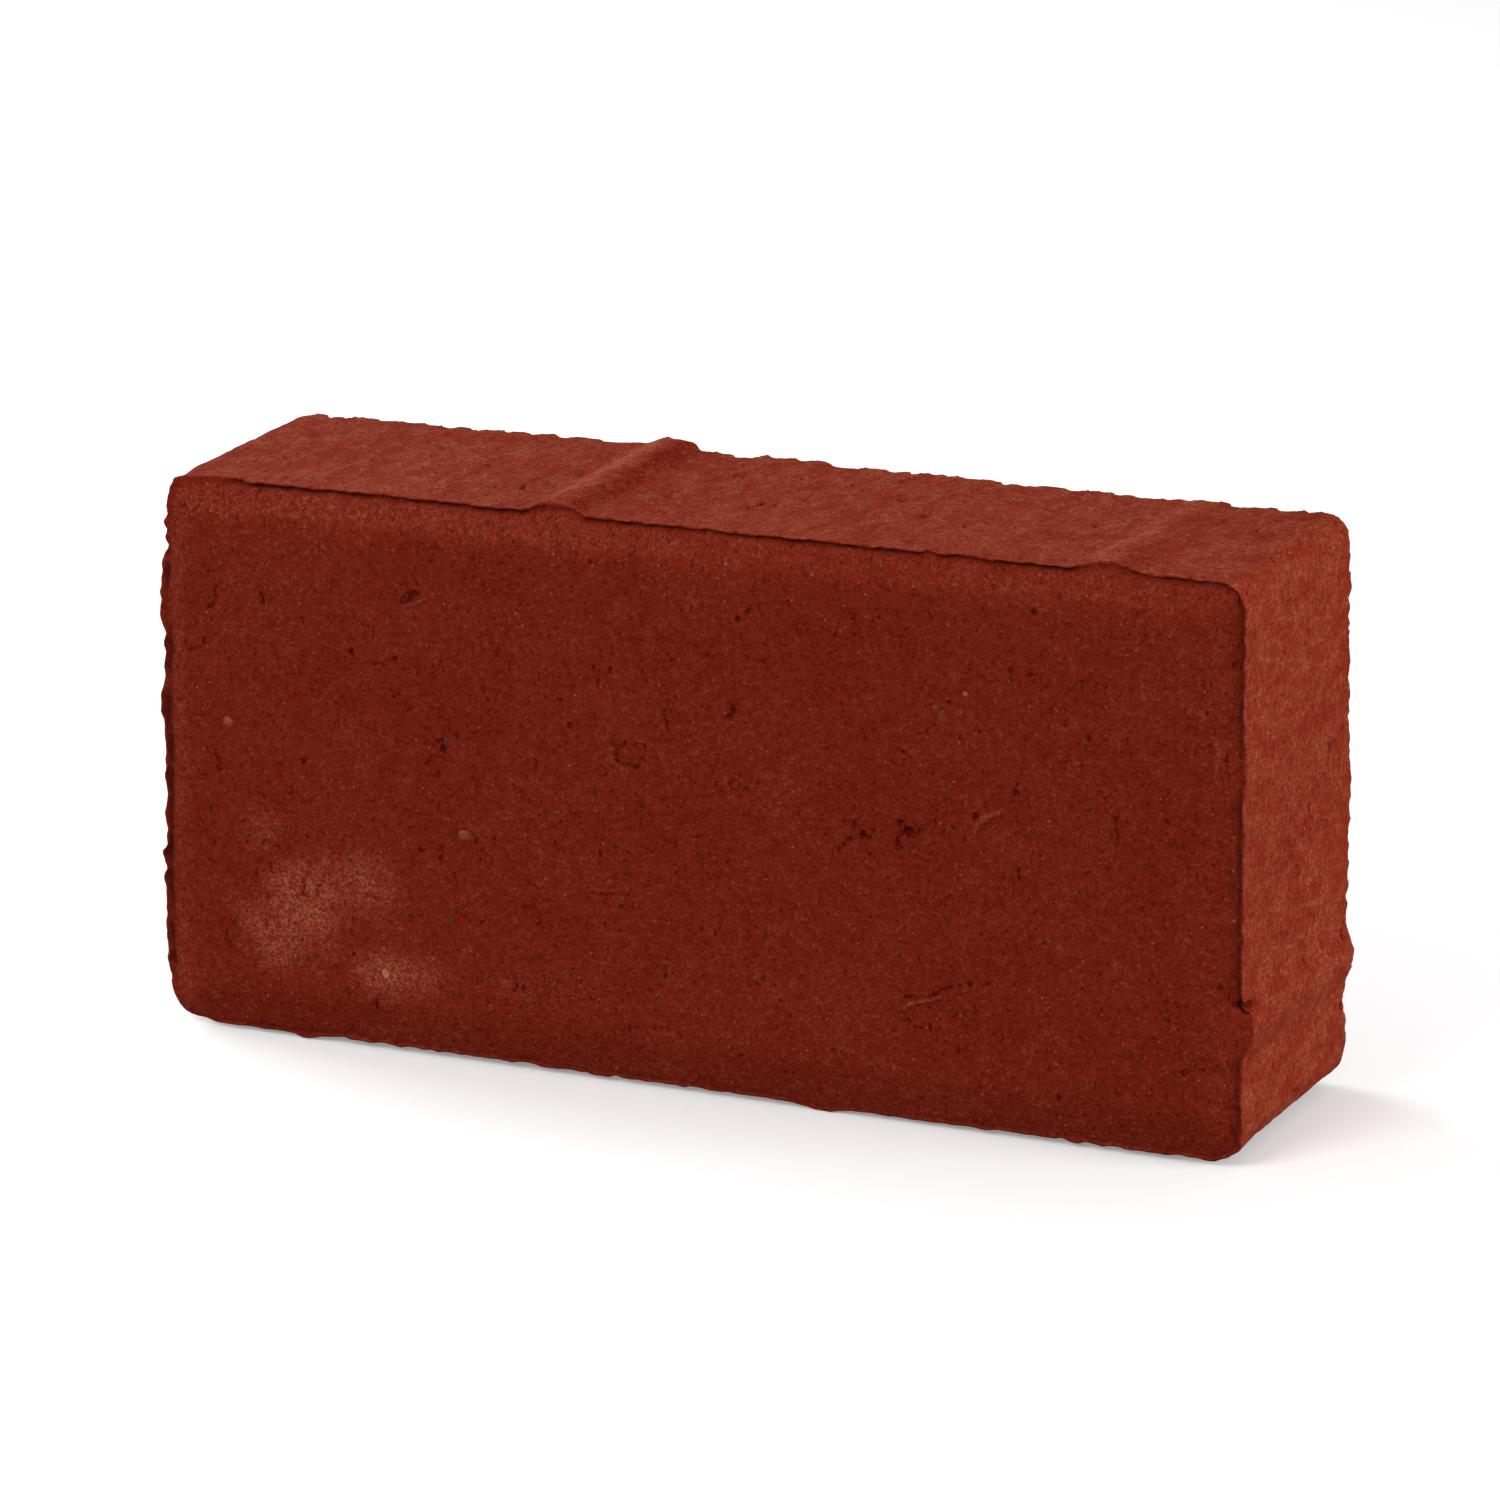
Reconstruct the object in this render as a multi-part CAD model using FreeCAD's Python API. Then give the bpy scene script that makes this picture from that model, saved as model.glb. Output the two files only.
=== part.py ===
"""Pressed concrete paving block, 200 x 100 x 50 mm, standing on one long edge.

The block is pressed in two layers: a thin facing of fine concrete, and a core of coarser concrete behind
it. Stones of the mix that lie open in its faces are solids of their own, each in an exact pocket.

Frame, in millimetres: X runs along the block's length and Z up its width. The wearing face looks
towards -Y and the bed face towards +Y. The origin is under the block's centre, on the plane that its
two lower spacer nibs stand on.
"""
import FreeCAD, Part
import math
import os

# Laying size, measured over the spacer nibs, and thickness
MODULE_LENGTH = 200.0
MODULE_WIDTH = 100.0
THICKNESS = 50.0

# Spacer nibs: smooth ridges across the thickness of every side
NIB_HEIGHT = 1.5
NIB_BASE = 13.0
NIB_STEP = 74.5  # from the corner before a nib, going clockwise as the wearing face is seen
NIB_PITCH = 98.5  # to the second nib of a long side

# Body between the nibs
BODY_LENGTH = MODULE_LENGTH - 2 * NIB_HEIGHT
BODY_WIDTH = MODULE_WIDTH - 2 * NIB_HEIGHT
CORNER_RADIUS = 5.0
FACING_DEPTH = 12.0

# Shallow bevel round the wearing face, and the thin pressed fin that stands at its outer edge
BEVEL_WIDTH = 7.0
BEVEL_DEPTH = 2.0
BEVEL_INNER_RADIUS = 3.0
BEVEL_OVERRUN = 3.0  # how far the bevel's cutter runs out past the body, clear of the nibs
FIN_WIDTH = 0.8
FIN_HEIGHT = 0.9
FIN_ROOT = 1.0  # how far the fin's solid reaches into the bevel

# Levels of the main planes
WEARING_Y = -THICKNESS / 2
BOND_Y = WEARING_Y + FACING_DEPTH
BED_Y = THICKNESS / 2
LEFT_X = -BODY_LENGTH / 2
RIGHT_X = BODY_LENGTH / 2
TOP_Z = MODULE_WIDTH - NIB_HEIGHT
BOTTOM_Z = NIB_HEIGHT

# Form of a stone going in from the face, as shares of its depth and of its open size
PEBBLE_PROFILE = [(0.0, 0.94), (0.3, 1.0), (0.65, 0.86), (0.9, 0.5), (1.0, 0.2)]
PEBBLE_SIDES = 12
CHIP_PROFILE = [(0.0, 1.0), (1.0, 0.6)]

# Stones in the wearing face: name, distance from the left end, distance below the top side,
# width, height, depth, turn in degrees
WEARING_PEBBLES = [
    ("light_pebble_left", 12.6, 42.6, 2.5, 2.7, 2.2, 0.0),
    ("light_pebble_middle", 57.4, 57.5, 3.6, 2.3, 2.4, -8.0),
    ("cream_grain", 41.8, 83.9, 1.9, 2.4, 1.6, 25.0),
    ("quartz_grain", 149.0, 23.0, 1.3, 1.2, 1.0, 0.0),
    ("grey_pebble", 145.0, 27.5, 2.5, 3.9, 3.0, 12.0),
]

# Crushed chips in the wearing face: name, distance from the left end, distance below the top side,
# depth, corners of the open outline round that place
WEARING_CHIPS = [
    (
        "blue_grey_chip",
        54.8,
        41.4,
        1.6,
        [(-0.9, -0.5), (-0.2, -0.8), (0.8, -0.5), (0.9, 0.3), (0.1, 0.8), (-0.7, 0.5)],
    ),
    (
        "green_grey_chip",
        54.4,
        72.9,
        1.5,
        [(-0.8, -0.8), (0.3, -0.9), (0.9, -0.1), (0.7, 0.8), (-0.3, 0.9), (-1.0, 0.2)],
    ),
]

# Coarse gravel open in the bed face: distance from the left end, distance below the top side,
# width, height, depth, turn in degrees
BED_GRAVEL = [
    (24.0, 31.0, 6.5, 4.6, 4.0, 20.0),
    (47.0, 72.0, 5.2, 4.4, 3.6, -35.0),
    (68.0, 18.0, 4.2, 3.4, 3.0, 60.0),
    (91.0, 54.0, 7.4, 5.2, 4.6, 10.0),
    (113.0, 83.0, 5.0, 3.8, 3.2, -15.0),
    (128.0, 27.0, 5.8, 4.9, 4.0, 40.0),
    (157.0, 61.0, 6.2, 4.2, 3.8, -50.0),
    (178.0, 34.0, 4.6, 4.0, 3.4, 5.0),
]

# Gravel open in the top side of the core: distance from the left end, distance behind the
# wearing face, size along the length, size through the thickness, depth, turn in degrees
TOP_GRAVEL = [
    (18.5, 27.0, 2.6, 2.0, 2.2, 15.0),
    (111.0, 41.0, 3.0, 2.2, 2.4, -25.0),
    (150.0, 35.0, 2.4, 2.0, 2.0, 50.0),
]

# Gravel open in the right end of the core: distance below the top side, distance behind the
# wearing face, size down the end, size through the thickness, depth, turn in degrees
END_GRAVEL = [
    (37.0, 39.0, 3.4, 2.6, 2.6, 20.0),
    (45.0, 30.0, 2.4, 2.0, 2.0, -30.0),
]


def side_frames():
    """The four sides, clockwise as the wearing face is seen: first corner, direction, outward normal, nibs."""
    long_nibs = [NIB_STEP, NIB_STEP + NIB_PITCH]
    short_nibs = [NIB_STEP]
    return [
        ((LEFT_X, TOP_Z), (1, 0), (0, 1), BODY_LENGTH, long_nibs),
        ((RIGHT_X, TOP_Z), (0, -1), (1, 0), BODY_WIDTH, short_nibs),
        ((RIGHT_X, BOTTOM_Z), (-1, 0), (0, -1), BODY_LENGTH, long_nibs),
        ((LEFT_X, BOTTOM_Z), (0, 1), (-1, 0), BODY_WIDTH, short_nibs),
    ]


def block_outline(inset, y):
    """Closed wire of the block's plan with its nibs and round corners, moved inward by inset."""
    half_base = NIB_BASE / 2
    sweep = 2 * math.atan2(NIB_HEIGHT, half_base)
    flank_radius = half_base / (2 * math.sin(sweep))
    root_radius = flank_radius + inset
    crest_radius = flank_radius - inset
    corner_radius = CORNER_RADIUS - inset
    edges = []
    for corner, along, outward, length, nibs in side_frames():

        def at(u, v):
            x = corner[0] + u * along[0] + v * outward[0]
            z = corner[1] + u * along[1] + v * outward[1]
            return FreeCAD.Vector(x, y, z)

        def arc(centre_u, centre_v, radius, start, end):
            angles = (start, (start + end) / 2, end)
            points = [at(centre_u + radius * math.sin(a), centre_v + radius * math.cos(a)) for a in angles]
            edges.append(Part.Arc(*points).toShape())
            return points[-1]

        last = at(CORNER_RADIUS, -inset)
        for nib in nibs:
            edges.append(Part.makeLine(last, at(nib - half_base, -inset)))
            arc(nib - half_base, flank_radius, root_radius, math.pi, math.pi - sweep)
            arc(nib, NIB_HEIGHT - flank_radius, crest_radius, -sweep, sweep)
            last = arc(nib + half_base, flank_radius, root_radius, math.pi + sweep, math.pi)
        edges.append(Part.makeLine(last, at(length - CORNER_RADIUS, -inset)))
        arc(length - CORNER_RADIUS, -CORNER_RADIUS, corner_radius, 0.0, math.pi / 2)
    return Part.Wire(edges)


def block_prism(inset, y_start, y_end):
    """The plan, moved inward by inset, as a solid from one level to another."""
    return Part.Face(block_outline(inset, y_start)).extrude(FreeCAD.Vector(0, y_end - y_start, 0))


def rounded_rectangle(length, width, radius, y):
    """Closed wire centred on the wearing face."""
    half_length = length / 2
    half_width = width / 2
    centre_z = (TOP_Z + BOTTOM_Z) / 2
    edges = []
    last = None
    for sign_x, sign_z, start in ((1, 1, 0), (-1, 1, 90), (-1, -1, 180), (1, -1, 270)):
        centre = FreeCAD.Vector(
            sign_x * (half_length - radius), y, centre_z + sign_z * (half_width - radius)
        )
        points = []
        for degrees in (start, start + 45, start + 90):
            angle = math.radians(degrees)
            points.append(centre + FreeCAD.Vector(radius * math.cos(angle), 0, radius * math.sin(angle)))
        if last is not None:
            edges.append(Part.makeLine(last, points[0]))
        edges.append(Part.Arc(*points).toShape())
        last = points[-1]
    edges.append(Part.makeLine(last, edges[0].Vertexes[0].Point))
    return Part.Wire(edges)


def bevel_cutter():
    """What the press tool keeps clear round the wearing face: a slab with a flat-topped hump cut from it."""
    reach = BEVEL_WIDTH + BEVEL_OVERRUN
    foot_y = WEARING_Y + BEVEL_DEPTH * reach / BEVEL_WIDTH
    flat = rounded_rectangle(
        BODY_LENGTH - 2 * BEVEL_WIDTH, BODY_WIDTH - 2 * BEVEL_WIDTH, BEVEL_INNER_RADIUS, WEARING_Y
    )
    foot = rounded_rectangle(
        BODY_LENGTH + 2 * BEVEL_OVERRUN, BODY_WIDTH + 2 * BEVEL_OVERRUN, BEVEL_INNER_RADIUS + reach, foot_y
    )
    hump = Part.makeLoft([flat, foot], True, True)
    slab = Part.makeBox(
        BODY_LENGTH + 4 * BEVEL_OVERRUN,
        foot_y - WEARING_Y,
        BODY_WIDTH + 4 * BEVEL_OVERRUN,
        FreeCAD.Vector(LEFT_X - 2 * BEVEL_OVERRUN, WEARING_Y, BOTTOM_Z - 2 * BEVEL_OVERRUN),
    )
    return slab.cut(hump)


def pressed_fin():
    """Thin fin round the outer edge of the bevel, where mix was squeezed up beside the press tool."""
    crest_y = WEARING_Y + BEVEL_DEPTH - FIN_HEIGHT
    root_y = WEARING_Y + BEVEL_DEPTH + FIN_ROOT
    return block_prism(0.0, crest_y, root_y).cut(block_prism(FIN_WIDTH, crest_y, root_y))


def set_in_face(stone, place, across, inward):
    """Move a stone, made with its open side at y = 0 and its depth along +Y, to a place in a face."""
    up = across.cross(inward)
    rows = FreeCAD.Matrix(
        across.x, inward.x, up.x, place.x,
        across.y, inward.y, up.y, place.y,
        across.z, inward.z, up.z, place.z,
        0, 0, 0, 1,
    )
    moved = stone.copy()
    moved.Placement = FreeCAD.Placement(rows)
    return moved


def faceted_stone(outline, depth, profile):
    """Solid with flat sides: copies of a convex outline, scaled and sunk as the profile says."""
    rings = []
    for depth_share, size_share in profile:
        rings.append([FreeCAD.Vector(size_share * u, depth_share * depth, size_share * v) for u, v in outline])
    polygons = [rings[0], rings[-1]]
    for ring, deeper in zip(rings, rings[1:]):
        for i in range(len(outline)):
            j = (i + 1) % len(outline)
            polygons.append([ring[i], ring[j], deeper[j], deeper[i]])
    faces = [Part.Face(Part.makePolygon(polygon + polygon[:1])) for polygon in polygons]
    stone = Part.Solid(Part.Shell(faces))
    if stone.Volume < 0:
        stone.reverse()
    return stone


def pebble(width, height, depth, turn):
    """Rounded stone with an oval outline, turned in the plane of the face."""
    lean = math.radians(turn)
    outline = []
    for i in range(PEBBLE_SIDES):
        angle = 2 * math.pi * i / PEBBLE_SIDES
        u = width / 2 * math.cos(angle)
        v = height / 2 * math.sin(angle)
        outline.append((u * math.cos(lean) - v * math.sin(lean), u * math.sin(lean) + v * math.cos(lean)))
    return faceted_stone(outline, depth, PEBBLE_PROFILE)


def chip(corners, depth):
    """Crushed stone, wide at the face and narrower inside."""
    return faceted_stone(corners, depth, CHIP_PROFILE)


def wearing_stones():
    """Every stone open in the wearing face, by name."""
    stones = {}
    across = FreeCAD.Vector(1, 0, 0)
    inward = FreeCAD.Vector(0, 1, 0)
    for name, from_left, below_top, width, height, depth, turn in WEARING_PEBBLES:
        place = FreeCAD.Vector(LEFT_X + from_left, WEARING_Y, TOP_Z - below_top)
        stones[name] = set_in_face(pebble(width, height, depth, turn), place, across, inward)
    for name, from_left, below_top, depth, corners in WEARING_CHIPS:
        place = FreeCAD.Vector(LEFT_X + from_left, WEARING_Y, TOP_Z - below_top)
        stones[name] = set_in_face(chip(corners, depth), place, across, inward)
    return stones


def core_gravel():
    """The coarse stones open in the faces of the core, as a list of separate solids."""
    stones = []
    for from_left, below_top, width, height, depth, turn in BED_GRAVEL:
        place = FreeCAD.Vector(LEFT_X + from_left, BED_Y, TOP_Z - below_top)
        stone = pebble(width, height, depth, turn)
        stones.append(set_in_face(stone, place, FreeCAD.Vector(-1, 0, 0), FreeCAD.Vector(0, -1, 0)))
    for from_left, behind, width, height, depth, turn in TOP_GRAVEL:
        place = FreeCAD.Vector(LEFT_X + from_left, WEARING_Y + behind, TOP_Z)
        stone = pebble(width, height, depth, turn)
        stones.append(set_in_face(stone, place, FreeCAD.Vector(1, 0, 0), FreeCAD.Vector(0, 0, -1)))
    for below_top, behind, width, height, depth, turn in END_GRAVEL:
        place = FreeCAD.Vector(RIGHT_X, WEARING_Y + behind, TOP_Z - below_top)
        stone = pebble(width, height, depth, turn)
        stones.append(set_in_face(stone, place, FreeCAD.Vector(0, 0, -1), FreeCAD.Vector(-1, 0, 0)))
    return stones


def facing_layer(stones):
    """Fine concrete layer with the bevel and the fin, and a pocket for each stone."""
    layer = block_prism(0.0, WEARING_Y, BOND_Y).cut(bevel_cutter())
    layer = layer.fuse(pressed_fin()).removeSplitter()
    return layer.cut(Part.makeCompound(stones)).Solids[0]


def core_layer(stones):
    """Coarse concrete behind the facing, down to the bed face, with a pocket for each stone."""
    layer = block_prism(0.0, BOND_Y, BED_Y)
    return layer.cut(Part.makeCompound(stones)).Solids[0]


def main():
    os.makedirs("parts", exist_ok=True)
    face_stones = wearing_stones()
    gravel = core_gravel()
    nodes = dict(face_stones)
    nodes["facing_layer"] = facing_layer(list(face_stones.values()))
    nodes["core_layer"] = core_layer(gravel)
    nodes["core_gravel"] = Part.makeCompound(gravel)
    for name, shape in nodes.items():
        shape.exportStep(f"parts/{name}.step")
        print(name, "valid" if shape.isValid() else "INVALID", f"{shape.Volume:.2f} mm3", shape.BoundBox)


main()
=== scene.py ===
import itertools
import math

import bmesh
import bpy
import numpy as np
from mathutils import Matrix, Vector


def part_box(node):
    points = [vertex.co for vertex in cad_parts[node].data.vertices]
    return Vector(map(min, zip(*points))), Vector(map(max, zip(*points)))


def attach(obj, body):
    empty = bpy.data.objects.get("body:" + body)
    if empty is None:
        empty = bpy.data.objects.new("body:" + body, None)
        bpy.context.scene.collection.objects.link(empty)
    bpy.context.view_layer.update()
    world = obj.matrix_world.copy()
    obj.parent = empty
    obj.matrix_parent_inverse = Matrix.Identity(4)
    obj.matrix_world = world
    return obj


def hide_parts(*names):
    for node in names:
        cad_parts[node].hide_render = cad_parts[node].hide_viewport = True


# Looks of a pressed concrete paving block that stands on one long edge. Lengths are in millimetres up to
# the point where a mesh is made. X runs along the block, Z up, and the wearing face looks towards -Y.

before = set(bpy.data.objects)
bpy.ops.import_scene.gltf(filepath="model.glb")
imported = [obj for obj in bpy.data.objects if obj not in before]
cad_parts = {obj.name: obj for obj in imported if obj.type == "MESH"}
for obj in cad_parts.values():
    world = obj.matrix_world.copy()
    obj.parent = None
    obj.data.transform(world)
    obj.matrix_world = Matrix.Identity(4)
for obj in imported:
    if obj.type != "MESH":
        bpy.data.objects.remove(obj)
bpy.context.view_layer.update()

MM = 0.001


# ---------------- sizes, from the frame


def cad_box(node):
    """Lowest and highest corner of a CAD node in millimetres, to a tenth."""
    return [np.round(np.array(corner) / MM, 1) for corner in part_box(node)]


facing_low, facing_high = cad_box("facing_layer")
WEARING_Y = facing_low[1]
BOND_Y = facing_high[1]
BED_Y = cad_box("core_layer")[1][1]

NIB_HEIGHT = 1.5
NIB_HALF_BASE = 6.5
NIB_STEP = 74.5  # from the corner before a nib, clockwise as the wearing face is seen
NIB_PITCH = 98.5  # to the second nib of a long side
LEFT_X = facing_low[0] + NIB_HEIGHT
RIGHT_X = facing_high[0] - NIB_HEIGHT
BOTTOM_Z = facing_low[2] + NIB_HEIGHT
TOP_Z = facing_high[2] - NIB_HEIGHT
CENTRE = np.array([(LEFT_X + RIGHT_X) / 2, (BOTTOM_Z + TOP_Z) / 2])
HALF = np.array([(RIGHT_X - LEFT_X) / 2, (TOP_Z - BOTTOM_Z) / 2])
CORNER_RADIUS = 5.0
BEVEL_WIDTH = 7.0
BEVEL_DEPTH = 2.0
BEVEL_SOFTNESS = 1.3  # the bevel's inner line is rounded over about this width


def on_face(from_left, below_top):
    """Place in X and Z of a point measured from the body's left end and top side."""
    return np.array([LEFT_X + from_left, TOP_Z - below_top])


def place_object(name, data):
    """New object in the scene."""
    thing = bpy.data.objects.new(name, data)
    bpy.context.scene.collection.objects.link(thing)
    return thing


def set_values(mesh, name, values, kind="FLOAT", domain="POINT"):
    """New attribute of a mesh, with its values."""
    attribute = mesh.attributes.new(name, kind, domain)
    attribute.data.foreach_set("value", values)


# ---------------- noise and easing

HASH_SIZE = 8192
HASH_TABLE = np.random.default_rng(11).uniform(-1, 1, HASH_SIZE)
HASH_PRIMES = (73856093, 19349663, 83492791)


def noise(points, size, seed=0):
    """Smooth noise from -1 to 1 with lumps about size across: one size, or one for each axis."""
    lattice = points / np.asarray(size, float) + 31.7 * (seed + 1)
    cell = np.floor(lattice).astype(np.int64)
    inside = lattice - cell
    eased = inside * inside * (3 - 2 * inside)
    total = np.zeros(len(points))
    for corner in itertools.product((0, 1), repeat=3):
        at = cell + np.array(corner)
        slot = at[:, 0] * HASH_PRIMES[0] ^ at[:, 1] * HASH_PRIMES[1] ^ at[:, 2] * HASH_PRIMES[2]
        weight = np.prod(np.where(corner, eased, 1 - eased), axis=1)
        total += weight * HASH_TABLE[slot % HASH_SIZE]
    return total


def ease(value, start, end):
    """0 up to start, 1 from end on, and a smooth step between; start may be the larger."""
    share = np.clip((value - start) / (end - start), 0, 1)
    return share * share * (3 - 2 * share)


# ---------------- what the surface shows

# Pits in the wearing face: distance from the left end, distance below the top side, width, height,
# turn in degrees, depth
FACE_PITS = [
    (48.3, 17.1, 3.4, 1.5, 22, 1.0),
    (36.8, 27.7, 1.1, 1.8, 0, 1.1),
    (20.0, 20.1, 0.9, 2.4, 10, 0.8),
    (7.0, 26.2, 1.0, 1.0, 0, 0.6),
    (6.0, 30.6, 1.7, 1.0, 20, 0.8),
    (8.4, 28.6, 0.8, 1.4, 0, 0.5),
    (4.8, 29.4, 0.8, 1.1, 0, 0.5),
    (42.0, 29.3, 2.2, 0.7, 12, 0.5),
    (47.8, 36.7, 1.1, 0.9, 0, 0.5),
    (45.7, 39.6, 0.8, 1.1, 0, 0.5),
    (53.8, 42.6, 0.9, 2.0, 8, 0.9),
    (52.6, 41.4, 1.4, 0.6, -20, 0.6),
    (53.7, 44.6, 1.0, 0.9, 0, 0.8),
    (56.3, 40.1, 1.0, 0.8, 0, 0.7),
    (60.0, 9.2, 1.0, 0.7, 0, 0.6),
    (52.4, 10.3, 1.4, 0.8, 0, 0.5),
    (26.8, 47.9, 1.3, 1.2, 0, 0.6),
    (8.7, 58.3, 0.6, 1.3, 0, 0.5),
    (6.2, 58.6, 0.5, 1.6, 8, 0.5),
    (48.8, 61.3, 1.1, 1.1, 0, 0.9),
    (59.6, 58.4, 0.9, 0.8, 0, 0.7),
    (60.5, 61.4, 0.7, 1.3, 0, 0.6),
    (63.3, 57.5, 0.8, 0.7, 0, 0.5),
    (60.7, 72.5, 0.9, 0.8, 0, 0.6),
    (38.2, 78.2, 0.7, 1.7, 0, 0.7),
    (12.8, 78.3, 1.1, 1.0, 0, 0.5),
    (36.0, 81.5, 0.7, 0.9, 0, 0.5),
    (108.6, 14.7, 0.9, 1.1, 0, 0.8),
    (110.8, 12.8, 1.8, 0.7, 30, 0.5),
    (82.1, 26.0, 0.8, 0.8, 0, 0.5),
    (83.1, 27.5, 0.7, 2.2, -8, 0.7),
    (85.3, 25.7, 0.8, 1.3, 0, 0.6),
    (106.9, 31.6, 1.5, 1.2, 25, 0.9),
    (120.7, 6.3, 1.2, 0.9, 0, 0.6),
    (129.3, 12.3, 1.2, 1.8, 0, 0.6),
    (81.8, 7.8, 0.8, 0.6, 0, 0.4),
    (84.4, 43.7, 0.9, 0.9, 0, 0.5),
    (101.0, 52.7, 1.3, 0.6, 10, 0.5),
    (101.6, 68.5, 0.7, 1.5, -12, 0.6),
    (104.0, 69.0, 0.9, 1.1, 0, 0.7),
    (94.8, 77.6, 1.0, 0.9, 0, 0.6),
    (77.6, 78.5, 0.9, 0.8, 0, 0.5),
    (66.9, 83.0, 0.6, 0.9, 0, 0.5),
    (68.2, 83.2, 0.6, 0.9, 0, 0.5),
    (88.2, 87.7, 1.5, 1.1, 0, 0.4),
    (108.5, 89.8, 1.2, 0.8, 0, 0.5),
    (139.4, 47.4, 3.4, 1.7, 12, 1.3),
    (137.3, 49.5, 1.2, 2.4, 15, 0.9),
    (137.6, 46.0, 1.4, 1.3, -30, 0.8),
    (141.5, 46.9, 1.5, 0.9, 10, 0.8),
    (131.0, 49.1, 2.6, 1.5, 15, 1.1),
    (129.3, 47.3, 1.2, 2.2, -15, 0.8),
    (132.6, 47.9, 1.2, 1.0, 0, 0.6),
    (132.0, 51.9, 1.0, 0.7, 0, 0.5),
    (137.6, 33.7, 1.7, 1.0, -15, 0.7),
    (136.4, 32.9, 0.9, 0.5, 0, 0.4),
    (158.0, 38.9, 1.3, 1.3, 0, 0.9),
    (158.2, 37.3, 0.6, 0.8, 0, 0.4),
    (151.0, 43.7, 1.0, 1.5, 0, 0.9),
    (144.0, 43.6, 0.8, 1.1, 0, 0.6),
    (143.2, 42.6, 0.7, 0.6, 0, 0.4),
    (146.8, 45.8, 0.8, 0.8, 0, 0.5),
    (148.8, 47.4, 0.9, 1.0, 0, 0.5),
    (145.3, 46.6, 0.6, 0.8, 0, 0.4),
    (165.2, 5.0, 0.8, 1.5, -15, 0.6),
    (157.0, 18.3, 1.0, 1.1, 0, 0.5),
    (160.5, 18.7, 2.0, 0.6, 0, 0.5),
    (190.0, 17.0, 0.7, 2.0, -15, 0.5),
    (191.1, 16.8, 0.5, 1.2, 0, 0.4),
    (170.4, 28.3, 0.8, 0.8, 0, 0.5),
    (166.3, 26.5, 0.9, 0.7, 0, 0.5),
    (146.2, 24.8, 1.3, 0.7, 10, 0.5),
    (182.0, 24.2, 0.8, 0.7, 0, 0.4),
    (184.2, 40.5, 0.8, 1.1, 0, 0.5),
    (141.0, 80.9, 2.2, 0.7, -8, 0.6),
    (142.6, 80.5, 0.9, 1.7, 0, 0.8),
    (138.8, 79.8, 1.2, 0.8, -20, 0.5),
    (139.2, 75.8, 2.2, 0.9, 20, 0.8),
    (142.9, 75.0, 0.9, 0.7, 0, 0.5),
    (149.8, 72.4, 1.0, 1.0, 0, 0.7),
    (153.3, 71.9, 0.7, 0.9, 0, 0.5),
    (160.5, 50.0, 0.6, 1.2, 0, 0.4),
    (161.6, 58.6, 0.9, 0.6, 0, 0.4),
    (163.0, 63.5, 1.3, 0.7, 0, 0.5),
    (170.6, 64.0, 1.2, 0.6, 20, 0.4),
    (184.5, 74.0, 0.7, 1.2, 12, 0.5),
    (187.4, 82.5, 1.6, 0.8, 5, 0.6),
    (165.5, 89.8, 0.9, 0.9, 0, 0.7),
    (144.7, 59.0, 0.9, 0.7, 0, 0.4),
    (138.3, 63.8, 0.7, 1.0, 0, 0.4),
]

PIT_RELIEF = 0.4  # share of a pit's or a tear's depth that is cut; the rest is shown by painted shade on its floor

# Tears and cracks in the wearing face: width, depth, points from the left end and below the top side
FACE_TEARS = [
    (0.55, 0.5, [(11.0, 18.9), (11.0, 20.8), (10.6, 22.2), (9.2, 22.6)]),
    (0.60, 0.6, [(10.3, 48.6), (10.8, 50.0), (11.0, 51.7)]),
    (0.55, 0.5, [(53.6, 59.8), (52.9, 62.1)]),
    (0.50, 0.4, [(26.6, 69.2), (26.5, 71.6)]),
    (0.50, 0.5, [(29.3, 69.9), (29.1, 71.8)]),
    (0.55, 0.7, [(40.1, 88.5), (40.3, 90.8)]),
    (0.50, 0.4, [(11.2, 80.2), (10.9, 81.7)]),
    (0.55, 0.6, [(107.2, 31.2), (107.7, 29.4)]),
    (0.45, 0.4, [(95.9, 30.2), (95.2, 32.4), (95.8, 34.7)]),
    (0.50, 0.5, [(88.1, 38.1), (86.4, 39.1), (86.2, 41.0), (88.0, 41.8), (90.5, 42.0)]),
    (0.45, 0.3, [(95.0, 21.5), (96.4, 22.9), (98.1, 23.2)]),
    (0.50, 0.4, [(71.0, 42.6), (71.2, 44.4)]),
    (0.45, 0.4, [(82.9, 57.6), (82.7, 59.6)]),
    (0.40, 0.25, [(80.4, 65.1), (83.5, 64.6), (88.0, 64.4)]),
    (0.50, 0.4, [(74.4, 56.6), (75.0, 57.9), (76.2, 58.5)]),
    (0.55, 0.6, [(128.6, 49.9), (127.4, 50.8), (126.7, 51.8)]),
    (0.50, 0.5, [(137.4, 48.4), (136.9, 50.8)]),
    (0.45, 0.4, [(175.7, 40.9), (175.5, 43.0), (175.8, 45.3)]),
    (0.50, 0.5, [(158.4, 51.4), (158.5, 53.4)]),
    (0.55, 0.5, [(143.2, 75.1), (144.8, 74.2), (146.0, 73.1), (148.2, 72.7)]),
    (0.45, 0.25, [(193.9, 27.8), (193.6, 30.0), (193.9, 33.0)]),
    (0.45, 0.4, [(147.9, 82.6), (148.1, 84.2)]),
]

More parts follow.
